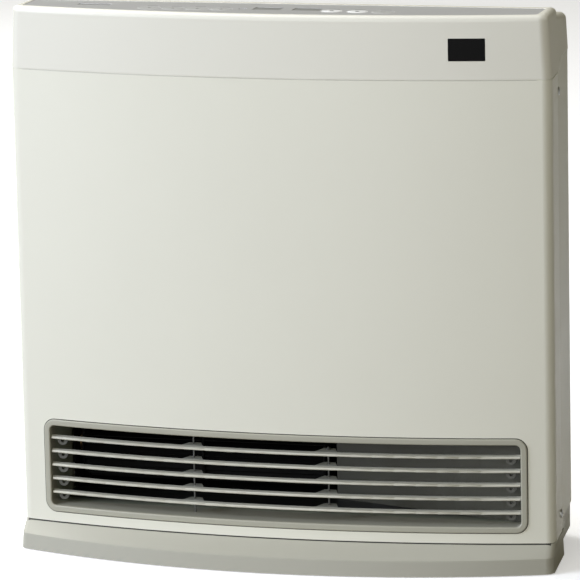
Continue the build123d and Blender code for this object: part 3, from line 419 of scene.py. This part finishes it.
def dim_ears(material, colour):
    """A darker tone on the ears: outside the blade's thickness, near the slats' ends."""
    blade_reach = 1.25 * MM
    ear_start = 190.0 * MM
    heights = sorted(blade_height(name) for name in slat_names())
    pitch = (heights[-1] - heights[0]) / (len(heights) - 1)
    wiring = Wiring(material.node_tree)
    axes = wiring.axes()
    lifted = wiring.maths("SUBTRACT", axes["Z"], heights[0])
    from_blade = wiring.maths("ABSOLUTE", wiring.maths("WRAP", lifted, pitch / 2, -pitch / 2))
    off_blade = wiring.maths("GREATER_THAN", from_blade, blade_reach)
    at_end = wiring.maths("GREATER_THAN", wiring.maths("ABSOLUTE", axes["X"]), ear_start)
    tinted(material, wiring.maths("MULTIPLY", off_blade, at_end), colour)


def paint_duct_shade(material, colour):
    """Painted shade on the duct's floor and roof, deeper to the rear; its end wall stays clear."""
    clear_front, fully_dark = -2.0 * MM, 16.0 * MM
    wall = 1.05 * MM
    wiring = Wiring(material.node_tree)
    axes = wiring.axes()
    corner = low("outlet_duct")
    deep = wiring.ramp(axes["Y"], corner.y + clear_front, corner.y + fully_dark, 0.0, 1.0)
    inside = wiring.maths("GREATER_THAN", axes["X"], corner.x + wall)
    tinted(material, wiring.maths("MULTIPLY", deep, inside), colour)


def paint_rim_shade(material):
    """Paints shade on the bezel's outer wall, down in the gap between it and the front panel."""
    round_edge, lip = 10.0 * MM, 4.0 * MM
    reach, sink = 0.5 * MM, 0.25 * MM
    any_depth = 9.0
    inset = lip + round_edge
    centre = middle("louvre_bezel")
    half_size = high("louvre_bezel") - centre
    core = (half_size.x - inset, any_depth, half_size.z - inset)
    wiring = Wiring(material.node_tree)
    moved = wiring.vectors("SUBTRACT", wiring.place(), (0.0, 0.0, centre.z))
    past_core = wiring.vectors("SUBTRACT", wiring.vectors("ABSOLUTE", moved), core)
    clipped = wiring.vectors("MAXIMUM", past_core, (0.0, 0.0, 0.0))
    apart = wiring.add("ShaderNodeVectorMath", {0: clipped}, operation="LENGTH").outputs["Value"]
    at_rim = wiring.maths("GREATER_THAN", apart, round_edge - reach)
    sunk = wiring.maths("LESS_THAN", wiring.from_bow_centre(), BOW_RADIUS + sink)
    return tinted(material, wiring.maths("MULTIPLY", at_rim, sunk), (0.02, 0.02, 0.018))


# Making of the fine pieces


def grown(name, points, tree, sizes, material):
    """A mesh grown by a geometry tree from a few points, each with the way it faces."""
    seed = bpy.data.meshes.new(name)
    seed.from_pydata([place for place, facing in points], [], [])
    seed.attributes.new("facing", "FLOAT_VECTOR", "POINT")
    ways = [number for place, facing in points for number in facing]
    seed.attributes["facing"].data.foreach_set("vector", ways)
    piece = bpy.data.objects.new(name, seed)
    bpy.context.scene.collection.objects.link(piece)
    grower = piece.modifiers.new("Grow", "NODES")
    grower.node_group = tree
    values = {**sizes, "Finish": material}
    for item in tree.interface.items_tree:
        if item.in_out == "INPUT" and item.name in values:
            grower[item.identifier] = values[item.name]
    settled = piece.evaluated_get(bpy.context.evaluated_depsgraph_get())
    piece.data = bpy.data.meshes.new_from_object(settled)
    piece.modifiers.clear()
    piece.data.name = name
    return piece


def growing_tree(name, sizes):
    """A geometry tree with named sizes; returns its wiring, inputs and a way to close it."""
    wiring, given, result = group_tree(
        name, "GeometryNodeTree",
        [("Geometry", "NodeSocketGeometry", None)]
        + [(label, "NodeSocketFloat", default) for label, default in sizes]
        + [("Finish", "NodeSocketMaterial", None)],
        [("Geometry", "NodeSocketGeometry")])

    def close(geometry):
        """Ends the tree with plain, dressed geometry."""
        real = wiring.add("GeometryNodeRealizeInstances", {"Geometry": geometry})
        dressed = wiring.add("GeometryNodeSetMaterial",
                             {"Geometry": real.outputs[0], "Material": given["Finish"]})
        wiring.link(result, {"Geometry": dressed.outputs[0]})
        return wiring.tree

    return wiring, given, close


def screw_tree():
    """Pan heads with a cross recess, one at each point, turned the way it faces."""
    wiring, given, close = growing_tree("cross recess screws", [
        ("Head Diameter", 7.0 * MM), ("Head Height", SCREW_HEAD_HEIGHT),
        ("Shank Diameter", 3.6 * MM), ("Shank Length", 8.0 * MM), ("Recess Length", 4.2 * MM),
        ("Recess Width", 0.9 * MM), ("Recess Depth", 1.0 * MM)])
    rim_share, dome_share = 0.6, 0.72
    head_sides, shank_sides = 32, 20
    overlap = 0.1 * MM
    maths = wiring.maths

    def raised(mesh, height):
        """A mesh moved up by a height."""
        lift = wiring.add("ShaderNodeCombineXYZ", {"Z": height}).outputs[0]
        return wiring.add("GeometryNodeTransform",
                          {"Geometry": mesh, "Translation": lift}).outputs[0]

    head_radius = maths("MULTIPLY", given["Head Diameter"], 0.5)
    rim_height = maths("MULTIPLY", given["Head Height"], rim_share)
    rim = wiring.add("GeometryNodeMeshCylinder",
                     {"Vertices": head_sides, "Radius": head_radius, "Depth": rim_height})
    dome_radius = maths("MULTIPLY", head_radius, dome_share)
    dome_height = maths("SUBTRACT", given["Head Height"], rim_height)
    dome = wiring.add("GeometryNodeMeshCone",
                      {"Vertices": head_sides, "Radius Top": dome_radius,
                       "Radius Bottom": head_radius, "Depth": dome_height})
    shank_radius = maths("MULTIPLY", given["Shank Diameter"], 0.5)
    shank = wiring.add("GeometryNodeMeshCylinder",
                       {"Vertices": shank_sides, "Radius": shank_radius,
                        "Depth": given["Shank Length"]})
    shank_middle = maths("MULTIPLY", given["Shank Length"], -0.5)
    whole = wiring.add("GeometryNodeMeshBoolean", operation="UNION", solver="EXACT")
    for mesh in (raised(rim.outputs["Mesh"], maths("MULTIPLY", rim_height, 0.5)),
                 raised(dome.outputs["Mesh"], rim_height),
                 raised(shank.outputs["Mesh"], maths("ADD", shank_middle, overlap))):
        wiring.link(whole.inputs, {"Mesh 2": mesh})
    cut = wiring.add("GeometryNodeMeshBoolean", {"Mesh 1": whole.outputs["Mesh"]},
                     operation="DIFFERENCE", solver="EXACT")
    double_depth = maths("MULTIPLY", given["Recess Depth"], 2.0)
    for long_way, short_way in (("Recess Length", "Recess Width"),
                                ("Recess Width", "Recess Length")):
        size = wiring.add("ShaderNodeCombineXYZ", {"X": given[long_way], "Y": given[short_way],
                                                   "Z": double_depth})
        slot = wiring.add("GeometryNodeMeshCube", {"Size": size.outputs[0]})
        wiring.link(cut.inputs, {"Mesh 2": raised(slot.outputs["Mesh"], given["Head Height"])})
    facing = wiring.add("GeometryNodeInputNamedAttribute", {"Name": "facing"},
                        data_type="FLOAT_VECTOR")
    turn = wiring.add("FunctionNodeAlignRotationToVector",
                      {"Vector": facing.outputs["Attribute"]}, axis="Z")
    placed = wiring.add("GeometryNodeInstanceOnPoints",
                        {"Points": given["Geometry"], "Instance": cut.outputs["Mesh"],
                         "Rotation": turn.outputs["Rotation"]})
    return close(placed.outputs["Instances"])


def net_tree():
    """A woven net: threads along two directions of a rectangle centred on one point."""
    wiring, given, close = growing_tree("filter net", [
        ("Width", 300.0 * MM), ("Height", 200.0 * MM), ("Pitch", 3.0 * MM),
        ("Thread", 0.5 * MM)])
    maths = wiring.maths

    def threads(long_side, short_side, upright):
        """Threads that run along the long side, spaced over the short side."""
        gaps = maths("FLOOR", maths("DIVIDE", short_side, given["Pitch"]))
        reach = maths("MULTIPLY", gaps, given["Pitch"])
        start = maths("MULTIPLY", reach, -0.5)
        across, along = ("X", "Z") if upright else ("Z", "X")
        first = wiring.add("ShaderNodeCombineXYZ", {across: start}).outputs[0]
        step = wiring.add("ShaderNodeCombineXYZ", {across: given["Pitch"]}).outputs[0]
        row = wiring.add("GeometryNodeMeshLine",
                         {"Count": maths("ADD", gaps, 1.0), "Start Location": first,
                          "Offset": step}, mode="OFFSET")
        size = wiring.add("ShaderNodeCombineXYZ", {across: given["Thread"], along: long_side,
                                                   "Y": given["Thread"]})
        thread = wiring.add("GeometryNodeMeshCube", {"Size": size.outputs[0]})
        return wiring.add("GeometryNodeInstanceOnPoints",
                          {"Points": row.outputs["Mesh"],
                           "Instance": thread.outputs["Mesh"]}).outputs["Instances"]

    both = wiring.add("GeometryNodeJoinGeometry")
    wiring.link(both.inputs, {"Geometry": threads(given["Width"], given["Height"], False)})
    wiring.link(both.inputs, {"Geometry": threads(given["Height"], given["Width"], True)})
    net = wiring.add("GeometryNodeRealizeInstances", {"Geometry": both.outputs["Geometry"]})
    placed = wiring.add("GeometryNodeInstanceOnPoints",
                        {"Points": given["Geometry"], "Instance": net.outputs["Geometry"]})
    return close(placed.outputs["Instances"])


def screw_points(node):
    """Where each screw of a node seats, and the way it faces, read from its own shell."""
    side_slope = 0.08
    points = []
    for shell in separate_shells(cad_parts[node].data):
        centre = sum(shell, Vector()) / len(shell)
        if node == "rear_screws":
            facing = Vector((0, 1, 0))
        else:
            facing = Vector((math.copysign(1, centre.x), side_slope, 0)).normalized()
        top = max(corner.dot(facing) for corner in shell)
        axis = axis_point(shell, facing)
        seat = axis + facing * (top - SCREW_HEAD_HEIGHT - axis.dot(facing))
        points.append((tuple(seat), tuple(facing)))
    return points


def axis_point(shell, facing):
    """Middle of a shell's box, measured square to the way it faces."""
    upward = Vector((0, 0, 1))
    axis = Vector()
    for way in (facing.cross(upward), upward):
        reaches = [corner.dot(way) for corner in shell]
        axis += way * ((min(reaches) + max(reaches)) / 2)
    return axis


def separate_shells(mesh):
    """The corners of each separate screw, gathered by nearness."""
    reach = 20.0 * MM
    shells = []
    for vertex in mesh.vertices:
        for shell in shells:
            if (shell[0] - vertex.co).length < reach:
                shell.append(vertex.co.copy())
                break
        else:
            shells.append([vertex.co.copy()])
    return shells


def printed(name, points, faces, material, body):
    """A print that rides on a body."""
    mesh = bpy.data.meshes.new(name)
    mesh.from_pydata(points, [], faces)
    mesh.materials.append(material)
    piece = bpy.data.objects.new(name, mesh)
    bpy.context.scene.collection.objects.link(piece)
    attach(piece, body)


def flat_marks(name, outlines, surface_z, material, body):
    """Printed marks: flat outlines a hair above a level surface, each a list of points in plan."""
    points, faces = [], []
    top_z = surface_z + bpy.context.scene.heater_details.mark_height
    for outline in outlines:
        first, count = len(points), len(outline)
        points += [(x, y, z) for z in (surface_z, top_z) for x, y in outline]
        faces.append([first + count + i for i in range(count)])
        faces.append([first + i for i in reversed(range(count))])
        for i in range(count):
            after = (i + 1) % count
            faces.append([first + i, first + after, first + count + after, first + count + i])
    printed(name, points, faces, material, body)


def ring_marks(name, rings, surface_z, material, body):
    """Printed rings: from an outer to an inner loop, a hair above a level surface."""
    points, faces = [], []
    top_z = surface_z + bpy.context.scene.heater_details.mark_height
    for outer, inner in rings:
        first, count = len(points), len(outer)
        points += [(x, y, z) for z in (surface_z, top_z) for x, y in (*outer, *inner)]
        low_out, low_in, high_out, high_in = (first + level * count for level in range(4))
        for i in range(count):
            after = (i + 1) % count
            faces.append([high_out + i, high_out + after, high_in + after, high_in + i])
            faces.append([low_in + i, low_in + after, low_out + after, low_out + i])
            faces.append([low_out + i, low_out + after, high_out + after, high_out + i])
            faces.append([high_in + i, high_in + after, low_in + after, low_in + i])
    printed(name, points, faces, material, body)


def rounded_loop(x, y, radius, reach, steps=48):
    """A loop in plan, run anticlockwise: a circle drawn out to the left and right by reach."""
    loop = []
    for i in range(steps):
        turn = (i + 0.5) * math.tau / steps
        loop.append((x + math.copysign(reach, math.cos(turn)) + radius * math.cos(turn),
                     y + radius * math.sin(turn)))
    return loop


def key_ring(key, outer_radius, inner_radius, outer_reach, inner_reach):
    """The two loops of a ring printed round a key."""
    centre = middle(key)
    return (rounded_loop(centre.x, centre.y, outer_radius, outer_reach),
            rounded_loop(centre.x, centre.y, inner_radius, inner_reach))


def bar(x, y, width, length):
    """Outline of a bar in plan, run anticlockwise."""
    left, right = x - width / 2, x + width / 2
    front, back = y - length / 2, y + length / 2
    return [(left, front), (right, front), (right, back), (left, back)]


def arrow(x, y, size, way):
    """Outline of a triangle that points to the back (1) or the front (-1) in plan."""
    tip = (x, y + way * size / 2)
    foot = y - way * size / 2
    outline = [(x - size / 2, foot), (x + size / 2, foot), tip]
    return outline if way > 0 else outline[::-1]


def disc(x, y, radius, steps=24):
    """Outline of a disc in plan."""
    turns = [i * math.tau / steps for i in range(steps)]
    return [(x + radius * math.cos(turn), y + radius * math.sin(turn)) for turn in turns]


# The operators, one for each group of pieces


class HeaterStep(bpy.types.Operator):
    """A step that always does its work or stops with an error."""

    bl_options = {"REGISTER", "UNDO"}


class HEATER_OT_groups(HeaterStep):
    """Make the shader groups that the finishes share"""

    bl_idname = "heater.groups"
    bl_label = "Shared surfaces"

    def execute(self, context):
        surface_group()
        brushed_group()
        painted_seam_shade_group()
        return {"FINISHED"}


class HEATER_OT_housing(HeaterStep):
    """Finish the panel, case, cover, base and feet"""

    bl_idname = "heater.housing"
    bl_label = "Housing"

    def execute(self, context):
        colours = context.scene.heater_finishes
        enamel = {"roughness": 0.36, "grain": 1400.0, "bump": 6.0, "coat": 0.15}
        # The case's darker enamel is partly a two-tone finish, partly painted shade for the side
        # faces.
        wear(resin("enamelled sheet", colours.case, **enamel), "case_shell")
        # The panel, cover and base get painted shade in the seams between them.
        wear(add_painted_seam_shade(resin("enamelled panel", colours.enamel, **enamel)), "front_panel")
        cover = resin("cover moulding", colours.moulding, roughness=0.40, grain=1100.0, bump=8.0)
        seam_height = 3.0 * MM
        wear(add_painted_seam_shade(cover, top=low("top_cover").z + seam_height), "top_cover")
        base = resin("base moulding", colours.base)
        # The base's lower face is darker: painted shade where it turns under towards the floor.
        painted_underside_shade = tuple(0.90 * number for number in colours.base)
        paint_shade_below(base, low("base_plinth").z + 14.0 * MM, 2.0 * MM, painted_underside_shade)
        wear(add_painted_seam_shade(base, near_depth=-0.4 * MM, half_width=230.0 * MM), "base_plinth")
        wear(resin("black rubber", (0.025, 0.025, 0.025), roughness=0.7, grain=700.0, bump=30.0),
             "rubber_feet", "cable_grommet")
        return {"FINISHED"}


class HEATER_OT_controls(HeaterStep):
    """Finish the control panel, windows, keys, board and sensor window"""

    bl_idname = "heater.controls"
    bl_label = "Controls"

    def execute(self, context):
        colours = context.scene.heater_finishes
        smooth = {"grain": 300.0, "bump": 1.0}
        wear(resin("grey film", colours.film, roughness=0.33, grain=1500.0, bump=4.0, tone=0.02,
                   coat=0.3), "control_panel")
        wear(resin("smoked window", colours.window, roughness=0.38, **smooth),
             "display_left", "display_right")
        lens_colour = tuple(0.8 * number for number in colours.film)
        wear(resin("grey lens", lens_colour, roughness=0.2, coat=0.5, **smooth),
             "signal_lens", "lamp_lens")
        wear(resin("white key", colours.white_key, roughness=0.38, grain=1300.0, bump=6.0),
             *WHITE_KEYS)
        wear(resin("grey key", colours.grey_key, roughness=0.40, grain=1300.0, bump=6.0),
             *GREY_KEYS)
        wear(matt(resin("dark sensor window", (0.0035, 0.0035, 0.0035), roughness=0.28,
                        **smooth)), "sensor_window")
        wear(resin("circuit board", (0.02, 0.10, 0.04), roughness=0.35, grain=500.0, bump=20.0),
             "control_board")
        return {"FINISHED"}


class HEATER_OT_louvre(HeaterStep):
    """Finish the bezel, slats and wires"""

    bl_idname = "heater.louvre"
    bl_label = "Louvre"

    def execute(self, context):
        colours = context.scene.heater_finishes
        bezel = resin("bezel moulding", colours.trim, roughness=0.40, grain=1000.0, bump=8.0)
        # The bezel's outer wall gets painted shade in the gap round it.
        wear(paint_rim_shade(bezel), "louvre_bezel")
        slat = resin("slat resin", colours.slat, roughness=0.38, grain=1000.0, bump=6.0)
        dim_behind_blade(slat, colours.slat_arm)
        dim_ears(slat, colours.slat_ear)
        wear(slat, *slat_names())
        wear(metal("dull wire", (0.16, 0.16, 0.15), roughness=0.5, stretch=(900.0, 900.0, 30.0)),
             "louvre_stay", "louvre_link")
        return {"FINISHED"}


class HEATER_OT_air_path(HeaterStep):
    """Finish the duct, baffle, fan and motor"""

    bl_idname = "heater.air_path"
    bl_label = "Air path"

    def execute(self, context):
        duct = resin("coated sheet", (0.40, 0.42, 0.33), roughness=0.45, grain=500.0, tone=0.2)
        # The duct's floor and roof grow darker to the rear: painted shade.
        paint_duct_shade(duct, (0.012, 0.012, 0.010))
        wear(duct, "outlet_duct")
        wear(resin("dark coated sheet", (0.066, 0.066, 0.048), grain=500.0, tone=0.5),
             "duct_baffle")
        wear(matt(resin("black coated steel", (0.008, 0.008, 0.008), roughness=0.65,
                        grain=700.0)), "fan_casing", "fan_rotor")
        wear(resin("motor enamel", (0.04, 0.04, 0.045), roughness=0.45, grain=600.0),
             "fan_motor")
        wear(metal("oiled bronze", (0.42, 0.28, 0.14), roughness=0.4), "fan_bearing")
        return {"FINISHED"}


class HEATER_OT_gas_train(HeaterStep):
    """Finish the chassis, chamber, burner, valve, pipes and power supply"""

    bl_idname = "heater.gas_train"
    bl_label = "Gas train"

    def execute(self, context):
        wear(metal("chassis sheet", (0.45, 0.45, 0.44), roughness=0.45), "chassis_plate")
        wear(metal("heat darkened steel", (0.22, 0.20, 0.19), roughness=0.5),
             "combustion_chamber", "burner")
        wear(resin("glazed ceramic", (0.80, 0.78, 0.72), roughness=0.2, grain=400.0, bump=2.0,
                   coat=0.5), "igniter", "flame_sensor")
        wear(metal("cast aluminium", (0.52, 0.52, 0.52), roughness=0.55,
                   stretch=(500.0, 500.0, 500.0), bump=20.0), "gas_valve")
        wear(metal("drawn aluminium", (0.60, 0.60, 0.60)), "gas_feed", "gas_pipe")
        wear(metal("machined brass", (0.62, 0.44, 0.18), roughness=0.28,
                   stretch=(900.0, 60.0, 900.0)), "gas_inlet")
        wear(resin("black resin", (0.03, 0.03, 0.03), roughness=0.5),
             "power_supply", "overheat_switch")
        return {"FINISHED"}


class HEATER_OT_rear(HeaterStep):
    """Finish the rear grille and the filter, and weave the filter's net"""

    bl_idname = "heater.rear"
    bl_label = "Rear"

    def execute(self, context):
        sizes = context.scene.heater_details
        grille_colour = tuple(0.9 * number for number in context.scene.heater_finishes.moulding)
        wear(resin("grille moulding", grille_colour), "rear_grille")
        wear(resin("filter frame", (0.10, 0.11, 0.12), roughness=0.5), "air_filter")
        frame_border, tab_height, set_back = 16.0 * MM, 8.0 * MM, 0.6 * MM
        size = high("air_filter") - low("air_filter")
        centre = middle("air_filter")
        net_place = (centre.x, centre.y + set_back, centre.z - tab_height / 2)
        net = grown("filter_net", [(net_place, (0.0, 0.0, 1.0))], net_tree(),
                    {"Width": size.x - frame_border,
                     "Height": size.z - tab_height - frame_border,
                     "Pitch": sizes.mesh_pitch, "Thread": sizes.mesh_thread},
                    resin("filter net", (0.05, 0.06, 0.07), roughness=0.6))
        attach(net, "air_filter")
        return {"FINISHED"}


class HEATER_OT_screws(HeaterStep):
    """Put cross recess screws in place of the plain ones"""

    bl_idname = "heater.screws"
    bl_label = "Screws"

    def execute(self, context):
        sizes = context.scene.heater_details
        tree = screw_tree()
        plated = metal("plated screw", (0.55, 0.55, 0.54), stretch=(600.0, 600.0, 600.0))
        for node, head in SCREW_HEADS.items():
            screws = grown(node + "_dressed", screw_points(node), tree,
                           {"Head Diameter": head, "Recess Length": sizes.recess_length,
                            "Recess Width": sizes.recess_width,
                            "Recess Depth": sizes.recess_depth}, plated)
            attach(screws, BODY)
            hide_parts(node)
        return {"FINISHED"}


class HEATER_OT_marks(HeaterStep):
    """Print plain marks on the keys and beside them"""

    bl_idname = "heater.marks"
    bl_label = "Marks"

    def execute(self, context):
        colours = context.scene.heater_finishes
        ink = resin("printed ink", colours.mark, roughness=0.5, grain=600.0, bump=1.0)
        arrow_size, dot_radius = 3.2 * MM, 1.9 * MM
        dash_width, dash_length = 4.0 * MM, 0.9 * MM
        label_width, label_length, label_gap = 9.0 * MM, 1.3 * MM, 5.6 * MM
        for key, way in (("timer_less_key", -1), ("timer_more_key", 1), ("cooler_key", -1),
                         ("warmer_key", 1)):
            centre = middle(key)
            flat_marks(key + "_mark", [arrow(centre.x, centre.y, arrow_size, way)],
                       high(key).z, ink, key)
        for key in WHITE_KEYS:
            centre = middle(key)
            flat_marks(key + "_mark", [disc(centre.x, centre.y, dot_radius)],
                       high(key).z, ink, key)
        lock = middle("lock_key")
        flat_marks("lock_key_mark", [bar(lock.x, lock.y, dash_width, dash_length)],
                   high("lock_key").z, ink, "lock_key")
        film = high("control_panel").z
        labels = [bar(middle(key).x, high(key).y + label_gap, label_width, label_length)
                  for key in GREY_KEYS + WHITE_KEYS]
        flat_marks("panel_marks", labels, film, ink, BODY)
        white = resin("white print", colours.white_key, roughness=0.45, bump=1.0)
        pale = resin("pale print", colours.ring, roughness=0.45, bump=1.0)
        ring_marks("white_rings", [key_ring(key, **WHITE_RING) for key in WHITE_KEYS],
                   film, white, BODY)
        ring_marks("pale_rings", [key_ring(key, **PALE_RING) for key in GREY_KEYS],
                   film, pale, BODY)
        return {"FINISHED"}


class HEATER_OT_studio(HeaterStep):
    """Lay the floor and set the lights and the camera"""

    bl_idname = "heater.studio"
    bl_label = "Studio"

    def execute(self, context):
        settings = context.scene.heater_studio
        lay_floor(settings)
        light_scene(settings)
        light_surroundings(settings)
        place_camera()
        context.scene.view_settings.view_transform = "Standard"
        return {"FINISHED"}


def lay_floor(settings):
    """A wide plain floor that the camera sees as nearly white."""
    reach = 30.0
    mesh = bpy.data.meshes.new("floor")
    mesh.from_pydata([(-reach, -reach, 0), (reach, -reach, 0), (reach, reach, 0),
                      (-reach, reach, 0)], [], [(0, 1, 2, 3)])
    paper = resin("studio floor", settings.floor, roughness=0.9, grain=40.0, bump=0.0, tone=0.0)
    wiring = Wiring(paper.node_tree)
    seen = wiring.add("ShaderNodeLightPath").outputs["Is Camera Ray"]
    shader = paper.node_tree.nodes["Principled BSDF"]
    shader.inputs["Emission Color"].default_value = (*WHITE, 1.0)
    glow = wiring.maths("MULTIPLY", seen, settings.floor_glow)
    wiring.link(shader.inputs, {"Emission Strength": glow})
    mesh.materials.append(paper)
    floor = bpy.data.objects.new("floor", mesh)
    floor.visible_diffuse = False
    bpy.context.scene.collection.objects.link(floor)


def soft_light(name, place, aim, size, power, colour=WHITE):
    """A square soft light at a place, turned to its aim."""
    lamp = bpy.data.lights.new(name, "AREA")
    lamp.shape = "SQUARE"
    lamp.size = size
    lamp.energy = power
    lamp.color = colour
    light = bpy.data.objects.new(name, lamp)
    light.location = place
    light.rotation_euler = (Vector(aim) - Vector(place)).to_track_quat("-Z", "Y").to_euler()
    bpy.context.scene.collection.objects.link(light)


def light_scene(settings):
    """A large cool light from the left, three soft ones around, and a small one at the right."""
    heart = (0.0, 0.0, 0.25)
    cover_side = (BODY_HALF, 0.0, 0.44)
    soft_light("key", (-2.6, -2.0, 1.5), heart, 1.8, settings.key_power, settings.key_colour)
    soft_light("front", (0.0, -3.7, 1.2), heart, 2.0, settings.front_power)
    soft_light("top", (-0.9, 0.2, 2.5), heart, 1.4, settings.top_power)
    soft_light("rear", (-2.4, 2.0, 1.6), heart, 1.6, settings.rear_power)
    soft_light("side", (0.62, 0.05, 0.64), cover_side, 0.15, settings.side_power)


def light_surroundings(settings):
    """A faint warm light from all round, and a pale backdrop that only the camera sees."""
    world = bpy.data.worlds.new("surroundings")
    world.use_nodes = True
    fill = world.node_tree.nodes["Background"]
    fill.inputs["Color"].default_value = (*settings.fill_colour, 1.0)
    fill.inputs["Strength"].default_value = settings.fill
    wiring = Wiring(world.node_tree)
    seen = wiring.add("ShaderNodeLightPath").outputs["Is Camera Ray"]
    backdrop = wiring.add("ShaderNodeBackground", {"Color": (*settings.backdrop, 1.0)})
    both = wiring.add("ShaderNodeMixShader", {0: seen, 1: fill.outputs[0],
                                              2: backdrop.outputs[0]})
    wiring.link(world.node_tree.nodes["World Output"].inputs, {"Surface": both.outputs[0]})
    bpy.context.scene.world = world


def place_camera():
    """The photograph's viewing angle, solved from the heater's upright edges and bowed seams."""
    frame_pixels, focal_pixels = 580.0, 4647.1
    sensor_millimetres = 36.0
    place = Vector((1.03510, CORNER_Y - 3.68239, 1.01606))
    yaw, pitch, roll = 0.272, 0.202, -0.021
    forward = Vector((-math.sin(yaw) * math.cos(pitch), math.cos(yaw) * math.cos(pitch),
                      -math.sin(pitch)))
    level = Vector((math.cos(yaw), math.sin(yaw), 0.0))
    upward = level.cross(forward)
    right = level * math.cos(roll) + upward * math.sin(roll)
    up = -level * math.sin(roll) + upward * math.cos(roll)
    lens = bpy.data.cameras.new("camera")
    lens.sensor_width = sensor_millimetres
    lens.lens = sensor_millimetres * focal_pixels / frame_pixels
    lens.clip_end = 100.0
    camera = bpy.data.objects.new("camera", lens)
    turn = Matrix((right, up, -forward)).transposed()
    camera.matrix_world = Matrix.Translation(place) @ turn.to_4x4()
    bpy.context.scene.collection.objects.link(camera)
    bpy.context.scene.camera = camera


STEPS = (HEATER_OT_groups, HEATER_OT_studio, HEATER_OT_housing, HEATER_OT_controls,
         HEATER_OT_louvre, HEATER_OT_air_path, HEATER_OT_gas_train, HEATER_OT_rear,
         HEATER_OT_screws, HEATER_OT_marks)
SETTINGS = {"heater_finishes": HeaterFinishes, "heater_details": HeaterDetails,
            "heater_studio": HeaterStudio}


class HEATER_PT_steps(bpy.types.Panel):
    """Lists the heater's settings and steps"""

    bl_idname = "HEATER_PT_steps"
    bl_label = "Heater"
    bl_space_type = "VIEW_3D"
    bl_region_type = "UI"
    bl_category = "Heater"

    def draw(self, context):
        for name, group in SETTINGS.items():
            box = self.layout.box()
            for label in group.__annotations__:
                box.prop(getattr(context.scene, name), label)
        for step in STEPS:
            self.layout.operator(step.bl_idname)


def register():
    """Adds the settings, steps and panel."""
    for group in SETTINGS.values():
        bpy.utils.register_class(group)
    for step in STEPS:
        bpy.utils.register_class(step)
    bpy.utils.register_class(HEATER_PT_steps)
    for name, group in SETTINGS.items():
        setattr(bpy.types.Scene, name, bpy.props.PointerProperty(type=group))


def unregister():
    """Takes them away again."""
    for name in SETTINGS:
        delattr(bpy.types.Scene, name)
    bpy.utils.unregister_class(HEATER_PT_steps)
    for step in reversed(STEPS):
        bpy.utils.unregister_class(step)
    for group in reversed(SETTINGS.values()):
        bpy.utils.unregister_class(group)


def main():
    """Dresses the heater."""
    register()
    for step in STEPS:
        area, name = step.bl_idname.split(".")
        getattr(getattr(bpy.ops, area), name)()


if __name__ == "__main__":
    main()
